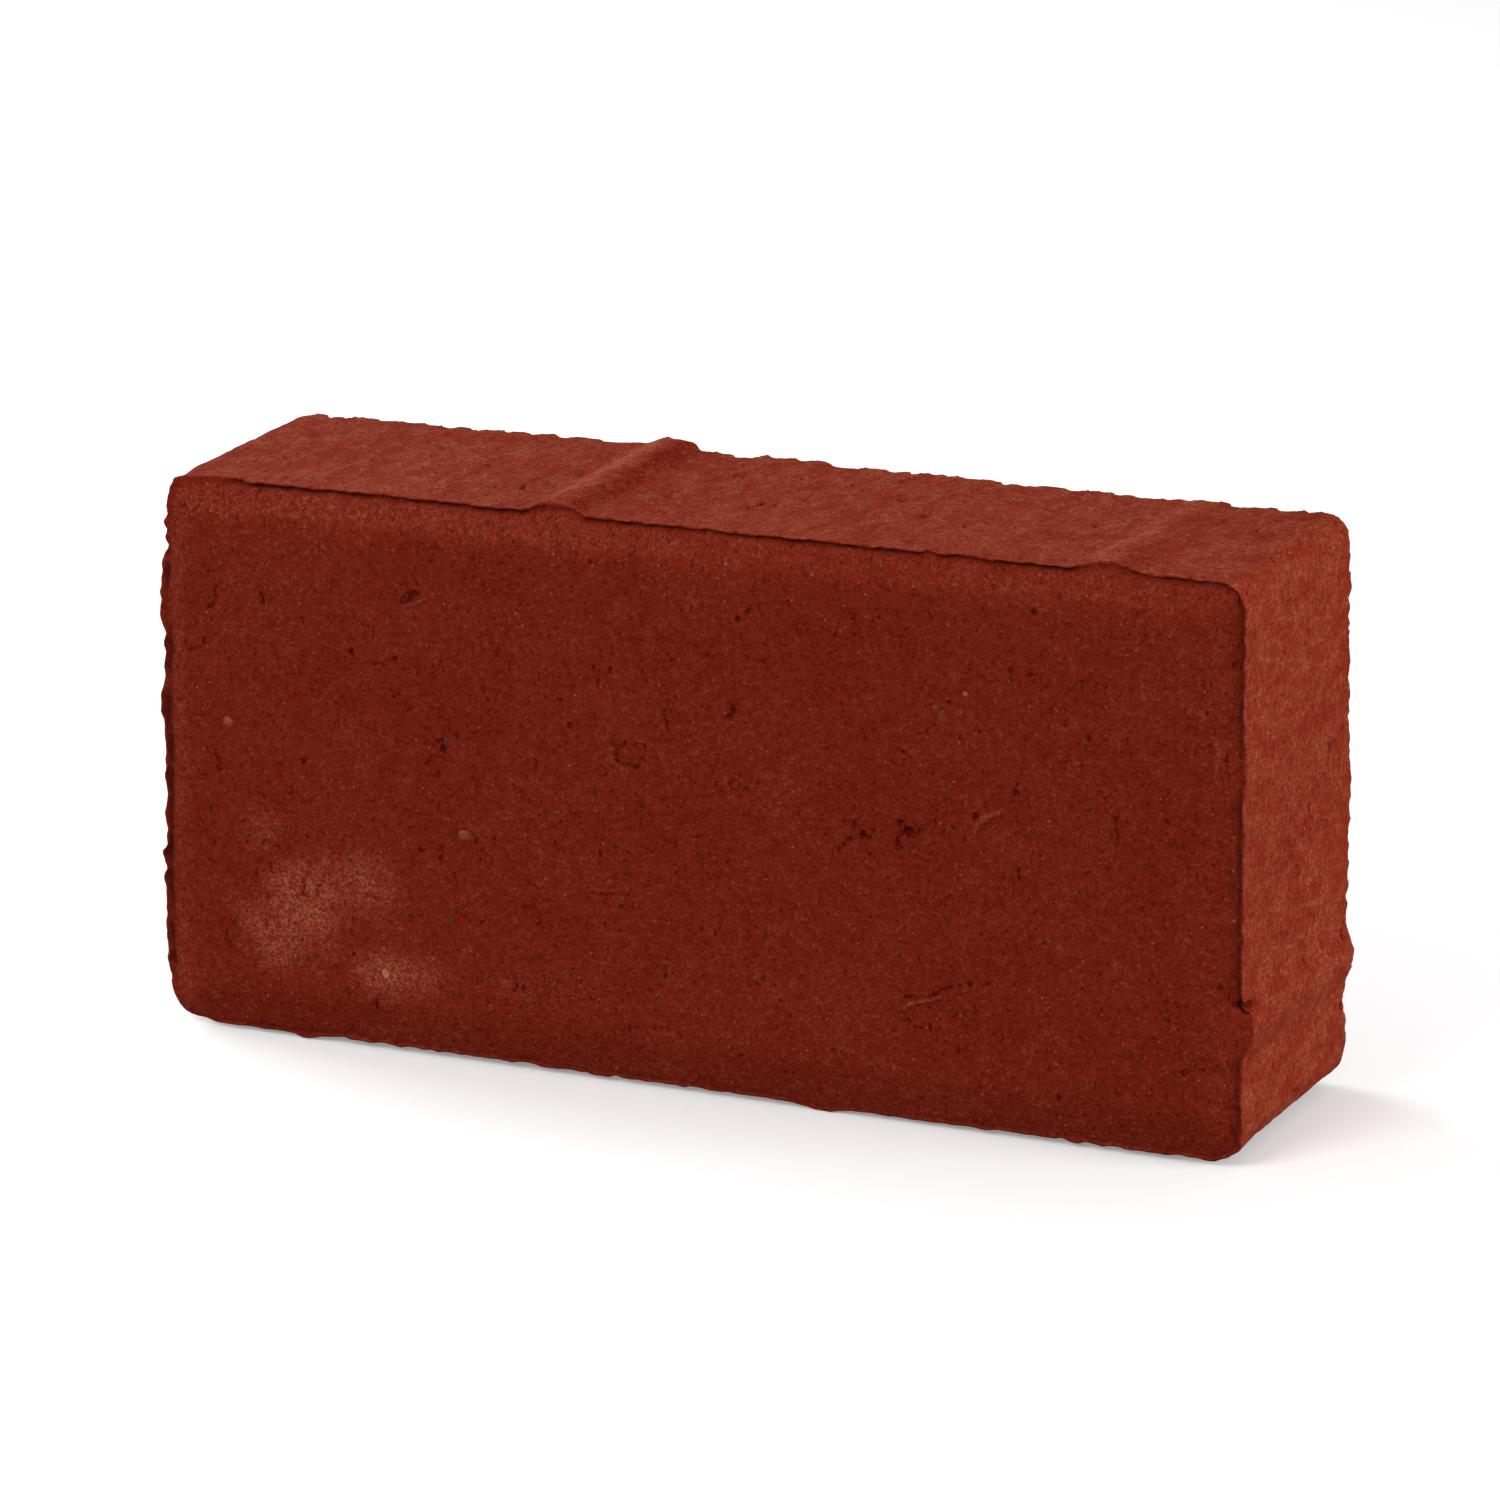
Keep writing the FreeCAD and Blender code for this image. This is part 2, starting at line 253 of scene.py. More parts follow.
# Low lips of paste that stand up beside a tear: width, height, points as above
FACE_LIPS = [
    (1.2, 0.42, [(150.7, 46.2), (151.6, 44.6), (153.0, 43.2), (154.8, 42.5)]),
    (0.9, 0.36, [(138.2, 78.2), (139.5, 77.0), (141.4, 76.2), (143.6, 75.6), (144.8, 75.0)]),
    (0.8, 0.25, [(85.2, 39.4), (85.3, 41.6), (87.2, 42.8)]),
    (0.9, 0.18, [(46.9, 18.8), (49.0, 18.4), (51.0, 17.2)]),
    (0.9, 0.20, [(192.3, 26.6), (192.2, 30.0), (192.4, 33.8)]),
    (0.7, 0.18, [(113.7, 91.8), (114.9, 93.8)]),
]

# Bits broken from the arris of the bed face, by side: distance along it from its first corner going
# clockwise as the wearing face is seen, length, depth
BED_CHIPS = {
    "top": [
        (1.0, 9.0, 2.8), (31.0, 4.0, 1.6), (62.0, 3.0, 0.9), (88.0, 5.0, 2.1), (107.0, 8.0, 2.0),
        (139.0, 3.0, 0.8), (161.0, 6.0, 1.3), (186.0, 4.0, 1.3),
    ],
    "right": [
        (8.0, 3.0, 1.2), (21.0, 3.0, 0.9), (41.0, 3.0, 0.8), (64.0, 2.5, 1.0), (83.0, 3.0, 1.2),
    ],
    "bottom": [
        (22.0, 5.0, 1.4), (58.0, 4.0, 1.0), (101.0, 7.0, 1.8), (152.0, 4.0, 1.2),
    ],
    "left": [
        (20.0, 4.0, 1.3), (52.0, 5.0, 1.6), (88.0, 4.0, 1.2),
    ],
}

# Stretches where the pressed fin round the bevel is low or broken off, by side: distance along it as
# above, half length, share of the height that is left
FIN_BREAKS = {
    "top": [
        (4.0, 12.0, 0.1), (73.5, 5.0, 0.5), (172.5, 5.5, 0.35),
    ],
    "right": [
        (30.5, 3.5, 0.4), (74.5, 4.5, 0.12), (84.0, 2.0, 0.5),
    ],
    "bottom": [
        (60.0, 9.0, 0.5), (120.0, 7.0, 0.4), (193.0, 6.0, 0.1),
    ],
    "left": [
        (2.0, 7.0, 0.15), (19.0, 3.0, 0.4), (73.5, 5.0, 0.45),
    ],
}

END_CRACK = dict(place=on_face(197.0, 70.8), half_width=0.9, length=4.6, depth=1.5)
# Where the outer edge of the wearing face has worn away: place, reach, loss
WORN_EDGES = [(on_face(0.0, 97.0), 9.0, 1.25), (on_face(0.0, 6.0), 13.0, 1.0)]
WORN_DEPTH = 11.0

# ---------------- sides, nibs and plain surface

SIDE_AXES = {  # first corner, direction and outward normal, in X and Z
    "top": (np.array([LEFT_X, TOP_Z]), np.array([1.0, 0.0]), np.array([0.0, 1.0])),
    "right": (np.array([RIGHT_X, TOP_Z]), np.array([0.0, -1.0]), np.array([1.0, 0.0])),
    "bottom": (np.array([RIGHT_X, BOTTOM_Z]), np.array([-1.0, 0.0]), np.array([0.0, -1.0])),
    "left": (np.array([LEFT_X, BOTTOM_Z]), np.array([0.0, 1.0]), np.array([-1.0, 0.0])),
}
# Height of each nib in turn, at the wearing face, behind the bevel and at the bed face
NIB_HEIGHTS = {
    "top": ((1.35, 1.5, 1.9), (1.0, 1.1, 0.3)),
    "right": ((1.5, 1.5, 1.5),),
    "bottom": ((0.75, 1.5, 1.5), (0.5, 1.5, 1.5)),
    "left": ((0.9, 1.5, 1.2),),
}
NIB_FULL_DEPTH = 10.0

LONG_STEPS = 320
SHORT_STEPS = 144
LOOP_STEPS = 2 * (LONG_STEPS + SHORT_STEPS)


def along_side(plan, side):
    """Distance of plan points along a side from its first corner, and how far they are outside it."""
    corner, along, outward = SIDE_AXES[side]
    return (plan - corner) @ along, (plan - corner) @ outward


def plan_outline():
    """Points round the body's plan without its nibs, clockwise from the top left, and their normals."""
    arc = CORNER_RADIUS * math.pi / 4
    places = []
    normals = []
    for side, (corner, along, outward) in SIDE_AXES.items():
        half = abs(HALF @ along)
        reach = abs(HALF @ outward)
        straight = half - CORNER_RADIUS
        steps = LONG_STEPS if side in ("top", "bottom") else SHORT_STEPS
        run = np.linspace(-straight - arc, straight + arc, steps, endpoint=False)
        angle = np.clip(np.abs(run) - straight, 0, None) / CORNER_RADIUS
        u = np.sign(run) * (np.minimum(np.abs(run), straight) + CORNER_RADIUS * np.sin(angle))
        v = reach - CORNER_RADIUS * (1 - np.cos(angle))
        places.append(CENTRE + np.outer(u, along) + np.outer(v, outward))
        normals.append(np.outer(np.sign(run) * np.sin(angle), along) + np.outer(np.cos(angle), outward))
    return np.vstack(places), np.vstack(normals)


def filled_outline(rim):
    """Grid of points that fills a closed outline, with the rim's own points round its border."""
    corners = (0, LONG_STEPS, LONG_STEPS + SHORT_STEPS, 2 * LONG_STEPS + SHORT_STEPS)
    closed = np.vstack([rim, rim[:1]])
    top = closed[corners[0] : corners[1] + 1]
    right = closed[corners[1] : corners[2] + 1]
    bottom = closed[corners[2] : corners[3] + 1][::-1]
    left = closed[corners[3] :][::-1]
    across = np.linspace(0, 1, LONG_STEPS + 1)[None, :, None]
    down = np.linspace(0, 1, SHORT_STEPS + 1)[:, None, None]
    straight = (1 - down) * top[None] + down * bottom[None]
    sideways = (1 - across) * left[:, None] + across * right[:, None]
    upper = (1 - across) * top[0] + across * top[-1]
    lower = (1 - across) * bottom[0] + across * bottom[-1]
    return straight + sideways - (1 - down) * upper - down * lower


def plain_shell(face_y, insets, levels):
    """Closed mesh of one layer before its relief: a flat face, its border, its sides and a flat cap."""
    places, normals = plan_outline()
    grid = filled_outline(places - insets[0] * normals)
    rows, columns = grid.shape[:2]
    index = np.arange(rows * columns).reshape(rows, columns)
    plan = [grid.reshape(-1, 2)]
    heights = [np.full(rows * columns, face_y)]
    for inset in insets[1:]:
        plan.append(places - inset * normals)
        heights.append(np.full(LOOP_STEPS, face_y))
    for level in levels:
        plan.append(places)
        heights.append(np.full(LOOP_STEPS, level))
    plan = np.vstack(plan)
    points = np.column_stack([plan[:, 0], np.concatenate(heights), plan[:, 1]])

    rim = np.concatenate([index[0, :-1], index[:-1, -1], index[-1, :0:-1], index[:0:-1, 0]])
    quads = [np.stack([index[:-1, :-1], index[1:, :-1], index[1:, 1:], index[:-1, 1:]], -1).reshape(-1, 4)]
    first = rows * columns
    for _ in range(len(insets) - 1 + len(levels)):
        outer = np.arange(first, first + LOOP_STEPS)
        quads.append(np.stack([rim, np.roll(rim, -1), np.roll(outer, -1), outer], -1))
        rim = outer
        first += LOOP_STEPS
    faces = np.vstack(quads).tolist() + [rim.tolist()]
    return points, faces


def refined_mesh(name, points, faces, spots):
    """Mesh of the points and faces, with each face that lies near a spot cut in nine."""
    mesh = bpy.data.meshes.new(name)
    mesh.from_pydata(points, [], faces)
    work = bmesh.new()
    work.from_mesh(mesh)
    bmesh.ops.recalc_face_normals(work, faces=work.faces)
    centres = np.array([face.calc_center_median() for face in work.faces])
    sizes = np.array([len(face.verts) for face in work.faces])
    near = np.zeros(len(centres), bool)
    for place, reach in spots:
        near |= (np.abs(centres - place) < reach).all(axis=1)
    near &= sizes == 4
    work.faces.ensure_lookup_table()
    edges = {edge for i in np.flatnonzero(near) for edge in work.faces[i].edges}
    bmesh.ops.subdivide_edges(work, edges=list(edges), cuts=2, use_grid_fill=True)
    work.to_mesh(mesh)
    work.free()
    return mesh


def read_points(mesh):
    flat = np.empty(3 * len(mesh.vertices))
    mesh.vertices.foreach_get("co", flat)
    return flat.reshape(-1, 3)


def edge_frame(points):
    """How far in from the plan's edge each point is, and which way is outward there."""
    offset = points[:, (0, 2)] - CENTRE
    past = np.abs(offset) - (HALF - CORNER_RADIUS)
    over = np.maximum(past, 0)
    length = np.hypot(over[:, 0], over[:, 1])
    inset = CORNER_RADIUS - length - np.minimum(past.max(axis=1), 0)
    flat_way = np.zeros_like(past)
    flat_way[np.arange(len(past)), past.argmax(axis=1)] = 1
    way = np.where(length[:, None] > 0, over / np.maximum(length, 1e-9)[:, None], flat_way)
    return np.maximum(inset, 0), way * np.where(offset < 0, -1, 1)


# ---------------- relief of the sides


def nib_rise(points, way):
    """How far the spacer nibs lift the surface; also 1 on the top nibs' left flanks and -1 on the right,
    which sets painted light on the left flanks and painted shade on the right ones.
    """
    plan = points[:, (0, 2)]
    rise = np.zeros(len(points))
    flank_shading_and_dust = np.zeros(len(points))
    for side, (_, _, outward) in SIDE_AXES.items():
        run, _ = along_side(plan, side)
        facing_out = way @ outward > 0.99
        for i, heights in enumerate(NIB_HEIGHTS[side]):
            gap = (run - NIB_STEP - i * NIB_PITCH) / NIB_HALF_BASE
            bump = ease(np.abs(gap), 1.0, 0.15)
            levels = (WEARING_Y, WEARING_Y + NIB_FULL_DEPTH, BED_Y)
            height = np.interp(points[:, 1], levels, heights)
            rise += np.where(facing_out, bump * height, 0)
            # painted light on each top nib's left flank and painted shade on its right flank, as if lit
            # from the left
            lean = -np.sin(np.pi * np.clip(1.1 * gap - 0.1, -1, 1)) * height / NIB_HEIGHT
            flank_shading_and_dust += np.where(facing_out & (side == "top"), lean, 0)
    return rise, flank_shading_and_dust


def side_voids(count, smallest, largest, y_range, seed):
    """Random small holes in the sides: place, radius and depth."""
    rng = np.random.default_rng(seed)
    places, normals = plan_outline()
    voids = []
    for _ in range(count):
        plan = places[rng.integers(len(places))]
        radius = smallest + (largest - smallest) * rng.random() ** 2
        place = np.array([plan[0], rng.uniform(*y_range), plan[1]])
        voids.append((place, radius, radius * rng.uniform(0.4, 0.8)))
    return voids


def face_voids(count, smallest, largest, face_y, margin, seed):
    """Random small holes in a flat face: place, radius and depth."""
    rng = np.random.default_rng(seed)
    voids = []
    for _ in range(count):
        plan = CENTRE + (HALF - margin) * rng.uniform(-1, 1, 2)
        radius = smallest + (largest - smallest) * rng.random() ** 2.5
        voids.append((np.array([plan[0], face_y, plan[1]]), radius, radius * rng.uniform(0.4, 0.9)))
    return voids


def void_depth(points, voids):
    """How deep the holes go at each point, with ragged outlines."""
    ragged = 1 + 0.35 * noise(points, 0.9, 41) + 0.2 * noise(points, 0.45, 42)
    depth = np.zeros(len(points))
    for place, radius, deepest in voids:
        near = np.flatnonzero(np.abs(points - place).max(axis=1) < 2 * radius)
        share = np.linalg.norm(points[near] - place, axis=1) / radius * ragged[near]
        depth[near] = np.maximum(depth[near], deepest * ease(share, 1.1, 0.45))
    return depth


def swell(points, way, inset):
    """How far the sides stand out beyond the plain plan, as the pressed body is not quite a true box."""
    x, y, z = points.T
    up, down = np.clip(way[:, 1], 0, 1), np.clip(-way[:, 1], 0, 1)
    right, left = np.clip(way[:, 0], 0, 1), np.clip(-way[:, 0], 0, 1)
    # each bulge is an amount for the whole side, and more over stretches of its length
    top_bulge = 0.1 + 0.5 * ease(x, 22, 4) + 0.3 * ease(x, 80, 92)
    right_bulge = 0.35 + 0.5 * ease(np.abs(z - 46), 18, 8)
    at_bed = ease(y, BOND_Y, BED_Y - 4) * (up * top_bulge + right * right_bulge)
    left_bulge = 0.15 + 0.6 * ease(z, 76, 54) + 0.9 * ease(z, 54, 22)
    bottom_bulge = 0.5 + 0.4 * ease(x, -60, -86)
    at_face = ease(y, BOND_Y, WEARING_Y + 3) * (left * left_bulge + down * bottom_bulge)
    return at_bed * ease(inset, 2.5, 0) + at_face * ease(inset, 7, 0.5)


def side_relief(points, way):
    """Height of the sides' surface above the plain plan and its nibs."""
    coarse = ease(points[:, 1], BOND_Y - 3, BOND_Y + 5)
    smooth_end = ease(way[:, 0], 0.6, 0.9) * ease(points[:, 1], BED_Y - 1, BED_Y - 5)
    lumps = 0.07 * noise(points, (10, 24, 10), 2)
    lumps += (0.05 + 0.05 * coarse) * noise(points, (2.4, 5, 2.4), 3)
    lumps += (0.05 + 0.09 * coarse) * noise(points, (1.3, 1.9, 1.3), 4)
    return 0.16 * noise(points, (45, 60, 45), 1) + lumps * (1 - 0.7 * smooth_end) - 0.12


def side_frame(points):
    """Edge frame of the points, how far the nibs lift them, and the nibs' flanks, which carry painted light
    and shade.
    """
    inset, way = edge_frame(points)
    nibs, flank_shading_and_dust = nib_rise(points, way)
    return inset, way, nibs * ease(inset, 7, 0), flank_shading_and_dust


# ---------------- relief of the wearing face


FIN_LEVELS = {"top": 0.72, "right": 0.72, "bottom": 0.16, "left": 0.5}


def fin_height(points, way):
    """Height of the pressed fin at the bevel's outer edge, along the plan."""
    rim = points * (1, 0, 1)
    level = np.zeros(len(points))
    for side, share in FIN_LEVELS.items():
        level += share * np.clip(way @ SIDE_AXES[side][2], 0, 1) ** 2
    uneven = 0.4 * noise(rim, 13, 5) + 0.4 * noise(rim, 4, 6) + 0.9 * noise(rim, 1.4, 7)
    height = level * (1 + uneven)
    wander = 0.8 * noise(rim, 2.0, 8)
    for side, breaks in FIN_BREAKS.items():
        run, out = along_side(points[:, (0, 2)], side)
        for place, half_length, left in breaks:
            gap = np.hypot(run - place, np.minimum(out + 4, 0)) + wander
            height *= left + (1 - left) * ease(gap, 0.6 * half_length, 1.2 * half_length)
    return np.clip(height, 0, 1.2)


# Section of the fin and of the groove at its foot: distance in from the edge, and share of the height
FIN_SECTION_AT = (0.0, 0.14, 0.34, 0.48, 0.6, 0.8, 1.2, 1.8, 2.6)
FIN_SECTION = (0.85, 1.0, 0.9, 0.5, 0.05, -0.28, -0.22, -0.06, 0.0)


def bevel_drop(inset):
    """How far the bevel lies behind the wearing face."""
    out = BEVEL_WIDTH - inset
    rounded = (out + np.sqrt(out * out + BEVEL_SOFTNESS**2)) / 2
    foot = (math.sqrt(BEVEL_WIDTH**2 + BEVEL_SOFTNESS**2) + BEVEL_WIDTH) / 2
    return BEVEL_DEPTH * rounded / foot


def distance_to_line(plan, line):
    """Distance of plan points to a bent line on the wearing face."""
    nearest = np.full(len(plan), np.inf)
    places = [on_face(*point) for point in line]
    for start, end in zip(places, places[1:]):
        run = end - start
        share = np.clip((plan - start) @ run / (run @ run), 0, 1)
        nearest = np.minimum(nearest, np.linalg.norm(plan - start - share[:, None] * run, axis=1))
    return nearest


def face_pits(points):
    """Depth of the wearing face's named pits and tears, how much painted shade they get, and the lips
    beside them.
    """
    plan = points[:, (0, 2)]
    wander = np.column_stack([noise(points, 1.2, 21), noise(points, 1.2, 22)])
    plan = plan + 0.25 * wander
    ragged = 0.75 * noise(points, 0.9, 23) + 0.4 * noise(points, 0.5, 24)
    depth = np.zeros(len(points))
    dark = np.zeros(len(points))

    def hollow_out(closeness, deepest):
        cut = PIT_RELIEF * deepest * ease(closeness + ragged, -0.1, 1.0)
        shade = min(1, 0.35 + 0.65 * deepest) * ease(closeness + 0.3 * ragged, -0.6, 0.7)
        np.maximum(depth, cut, out=depth)
        np.maximum(dark, shade, out=dark)

    for from_left, below_top, width, height, turn, deepest in FACE_PITS:
        offset = plan - on_face(from_left, below_top)
        cos, sin = math.cos(math.radians(turn)), math.sin(math.radians(turn))
        u = (offset[:, 0] * cos + offset[:, 1] * sin) / (width / 2)
        v = (offset[:, 1] * cos - offset[:, 0] * sin) / (height / 2)
        hollow_out(1.1 - np.hypot(u, v), deepest)
    for width, deepest, line in FACE_TEARS:
        away = distance_to_line(plan, line)
        hollow_out(1.1 - away / (0.7 * width), deepest)
    lips = np.zeros(len(points))
    for width, tallest, line in FACE_LIPS:
        away = distance_to_line(plan, line)
        lips = np.maximum(lips, tallest * ease(away, 0.6 * width, 0))
    return depth, dark, lips


# ---------------- stones, from the CAD nodes


def stone_islands(node):
    """Corner points of each separate stone in a CAD node, in millimetres."""
    work = bmesh.new()
    work.from_mesh(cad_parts[node].data)
    bmesh.ops.remove_doubles(work, verts=work.verts, dist=1e-7)
    islands = []
    waiting = set(work.verts)
    while waiting:
        reached = {waiting.pop()}
        front = list(reached)
        while front:
            for edge in front.pop().link_edges:
                for vertex in edge.verts:
                    if vertex not in reached:
                        reached.add(vertex)
                        front.append(vertex)
        waiting -= reached
        islands.append(np.array([vertex.co for vertex in reached]) / MM)
    work.free()
    return sorted(islands, key=lambda corners: tuple(corners.mean(axis=0)))


STONE_NODES = [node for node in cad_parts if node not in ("facing_layer", "core_layer")]
STONES = {node: stone_islands(node) for node in STONE_NODES}


def stone_sockets(y_range):
    """Centre and half size of each stone that lies within a range of depth."""
    sockets = []
    for islands in STONES.values():
        for corners in islands:
            low, high = corners.min(axis=0), corners.max(axis=0)
            if y_range[0] <= low[1] and high[1] <= y_range[1]:
                sockets.append(((low + high) / 2, (high - low) / 2))
    return sockets


def socket_depth(points, sockets):
    """How deep the concrete is opened where a stone shows through it."""
    depth = np.zeros(len(points))
    ragged = 1 + 0.12 * noise(points, 1.1, 31) + 0.08 * noise(points, 0.5, 32)
    for centre, half in sockets:
        near = np.flatnonzero((np.abs(points - centre) < 2 * half + 0.5).all(axis=1))
        share = np.linalg.norm((points[near] - centre) / np.maximum(half, 0.4), axis=1) * ragged[near]
        depth[near] = np.maximum(depth[near], 0.5 * ease(share, 1.36, 1.12))
    return depth


# ---------------- the two layers


def end_crack(points, way):
    """Depth of the tear that runs back from the bevel into the right end."""
    back = points[:, 1] - WEARING_Y
    half_width = END_CRACK["half_width"] * (1 - 0.7 * ease(back, 1.6, END_CRACK["length"]))
    off_line = np.abs(points[:, 2] - END_CRACK["place"][1] + 0.3 * noise(points, 1.6, 51))
    depth = END_CRACK["depth"] * ease(off_line, 1.15 * half_width, 0.3 * half_width)
    depth *= ease(back, END_CRACK["length"] + 1, END_CRACK["length"] - 1.5)
    return np.where(way[:, 0] > 0.9, depth, 0)


def worn_loss(points):
    """How far the outer edge of the wearing face has worn away."""
    back = points[:, 1] - WEARING_Y
    loss = np.zeros(len(points))
    for place, reach, most in WORN_EDGES:
        away = np.linalg.norm(points[:, (0, 2)] - place, axis=1)
        loss = np.maximum(loss, most * ease(away, reach, 1))
    return loss * ease(back, WORN_DEPTH, 2)


FACE_VOIDS = face_voids(90, 0.28, 0.62, WEARING_Y, 1.5, 71)
BED_VOIDS = face_voids(210, 0.5, 1.7, BED_Y, 2.0, 72)
FACING_SIDE_VOIDS = side_voids(110, 0.35, 0.8, (WEARING_Y + 4, BOND_Y - 1), 73)
CORE_SIDE_VOIDS = side_voids(330, 0.4, 1.2, (BOND_Y + 1, BED_Y - 1), 74)


def deformed_facing(points):
    """Facing's surface with its relief, and what its material needs to know at each point."""
    inset, way, nibs, flank_shading_and_dust = side_frame(points)
    in_front = points[:, 1] < WEARING_Y + 0.001
    back = points[:, 1] - WEARING_Y
    rim = points * (1, 0, 1)
    leftness = np.clip(-way[:, 0], 0, 1)
    ragged = 0.55 * noise(rim, 2.6, 61) + 0.5 * noise(rim, 1.4, 62)
    ragged *= np.where(way[:, 0] < -0.5, 1.0, 0.35)
    ragged *= 0.55 + 0.9 * ease(noise(rim, 6.5, 67), -0.3, 0.5)
    ragged += 0.45 * leftness * noise(rim, 5.0, 68)
    small = side_relief(points, way) + ragged * ease(back, 4, 0)
    cuts = void_depth(points, FACING_SIDE_VOIDS) + end_crack(points, way)
    sockets = socket_depth(points, stone_sockets((WEARING_Y - 1, BOND_Y)))
    cuts += np.where(in_front, 0, sockets)
    cuts *= ease(inset, 2.0, 0)
    outward = nibs + small * ease(inset, 2.5, 0) + swell(points, way, inset) - cuts - worn_loss(points)

    fin = fin_height(points, way)
    drop = bevel_drop(inset - nibs) - fin * np.interp(inset, FIN_SECTION_AT, FIN_SECTION)
    pits, dark, lips = face_pits(points)
    other_pits = void_depth(points, FACE_VOIDS)
    other_pits = np.maximum(other_pits, end_crack(points, way) * ease(inset, 2.4, 1.2))
    pits = np.maximum(pits, other_pits)
    dark = np.maximum(dark, other_pits / 0.7)
    relief = 0.10 * noise(points, 26, 63) + 0.07 * noise(points, 6, 64) + 0.05 * noise(points, 2.4, 65)
    relief += 0.035 * noise(points, 1.3, 66)
    face_shift = drop + pits + sockets - lips + relief * ease(inset, 0.3, 2)
    side_shift = drop * (1 - back / (BOND_Y - WEARING_Y))
    moved = points.copy()
    moved[:, (0, 2)] += outward[:, None] * way
    moved[:, 1] += np.where(in_front, face_shift, side_shift)
    moved[:, 2] = np.maximum(moved[:, 2], 0)

    # hollow: how much painted shade the pits, voids, sockets and cuts get
    hollow = np.clip(np.where(in_front, dark, 0) + cuts / 0.7, 0, 1)
    # painted shade along the groove at the fin's foot, where the fin shades the bevel; wider and stronger
    # on the left
    groove_shade = ease(np.abs(inset - 0.85 - 0.35 * leftness), 0.6 + 0.3 * leftness, 0.15)
    groove_shade *= np.where(in_front, np.clip(2 * fin, 0, 1) * (1 + 0.7 * leftness), 0)
    lip = np.clip(lips / 0.3, 0, 1)
    crest = ease(inset, 0.6, 0.2) * ease(back, 0.9, 0) * np.clip(fin, 0, 1)
    side = np.where(in_front, 0, 1)
    upward = np.clip(way[:, 1], 0, 1) * ease(inset, 7, 4.5)
    leftward = leftness * ease(inset, 5.5, 3.5)
    dusty = (upward + 0.8 * leftward) * ease(inset, 1.0, 2.2)
    return moved, dict(
        hollow=hollow,
        groove_shade=groove_shade,
        worn=np.clip(lip + 0.7 * crest, 0, 1),
        side=side,
        dusty=dusty,
        flank_shading_and_dust=flank_shading_and_dust * side,
    )


def arris_chips(points):
    """Size of the chips along the arris of the bed face."""
    rim = points * (1, 0, 1)
    even_end = 1 - 0.4 * ease(points[:, 0], HALF[0] - 4, HALF[0] - 1)
    size = even_end * (1.5 * np.abs(noise(rim, 4.0, 81)) + 1.9 * np.abs(noise(rim, 1.7, 82))) - 0.3
    size += 0.8 * ease(noise(rim, 16, 83), 0.1, 0.6)
    wander = 0.9 * noise(rim, 2.2, 84)
    for side, chips in BED_CHIPS.items():
        run, out = along_side(points[:, (0, 2)], side)
        for place, length, depth in chips:
            gap = np.abs(run - place) + wander
            chip = depth * 1.35 * ease(gap, 0.62 * length, 0.25 * length)
            size = np.maximum(size, np.where(out > -6, chip, 0))
    return size


def deformed_core(points):
    """Core's surface with its relief, and what its material needs to know at each point."""
    inset, way, nibs, flank_shading_and_dust = side_frame(points)
    on_bed = points[:, 1] > BED_Y - 0.001
    depth = BED_Y - points[:, 1]
    small = side_relief(points, way)
    sockets = socket_depth(points, stone_sockets((BOND_Y, BED_Y + 1)))
    side_cuts = void_depth(points, CORE_SIDE_VOIDS) + np.where(on_bed, 0, sockets)
    side_cuts *= ease(inset, 2.0, 0)
    bed_cuts = void_depth(points, BED_VOIDS) + sockets
    size = arris_chips(points)
    facet = 0.35 * noise(points, 1.8, 85) + 0.4 * noise(points, 0.9, 86)
    loss = 0.5 * np.maximum(0, size - np.where(on_bed, inset, depth)) * (1 + facet)
    relief = 0.22 * noise(points, 34, 91) + 0.22 * noise(points, 9, 92) + 0.16 * noise(points, 3.4, 93)
    relief += 0.10 * noise(points, 1.5, 94) - 0.3

    outward = nibs + small * ease(inset, 2.5, 0) + swell(points, way, inset) - side_cuts - loss
    moved = points.copy()
    moved[:, (0, 2)] += outward[:, None] * way
    moved[:, 1] -= np.where(on_bed, loss + bed_cuts - relief * ease(inset, 0, 2), loss)
    moved[:, 2] = np.maximum(moved[:, 2], 0)
    # hollow: how much painted shade the voids and sockets get
    hollow = np.clip(np.where(on_bed, bed_cuts, side_cuts) / 1.0, 0, 1)
    worn = np.clip(loss / 0.8, 0, 1)
    side = np.where(on_bed, 0, 1)
    none = np.zeros(len(points))
    return moved, dict(hollow=hollow, groove_shade=none, worn=worn, side=side, dusty=none, flank_shading_and_dust=flank_shading_and_dust * side)


FACE_INSETS = (2.6, 1.9, 1.45, 1.15, 0.92, 0.75, 0.6, 0.48, 0.36, 0.24, 0.12, 0.0)
BED_INSETS = (2.4, 1.8, 1.3, 0.85, 0.4, 0.0)
FACING_LEVELS = WEARING_Y + np.array(
    [0.15, 0.35, 0.65, 1.05, 1.6, 2.3, 3.0, 3.8, 4.6, 5.4, 6.2, 7.0, 7.8, 8.6, 9.5, 10.3, 11.2, 12.0]
)
CORE_LEVELS = BED_Y - np.concatenate([[0.35, 0.8, 1.3, 1.9, 2.6], np.linspace(3.5, BED_Y - BOND_Y, 28)])


def line_spots(lines, reach):
    """Places about a millimetre apart along lines on the wearing face."""
    spots = []
    for _, _, line in lines:
        places = [on_face(*point) for point in line]
        for start, end in zip(places, places[1:]):
            steps = max(1, round(float(np.linalg.norm(end - start))))
            for share in np.linspace(0, 1, steps + 1):
                x, z = start + share * (end - start)
                spots.append((np.array([x, WEARING_Y, z]), reach))
    return spots


def socket_spots(y_range):
    return [(centre, half + 0.9) for centre, half in stone_sockets(y_range)]


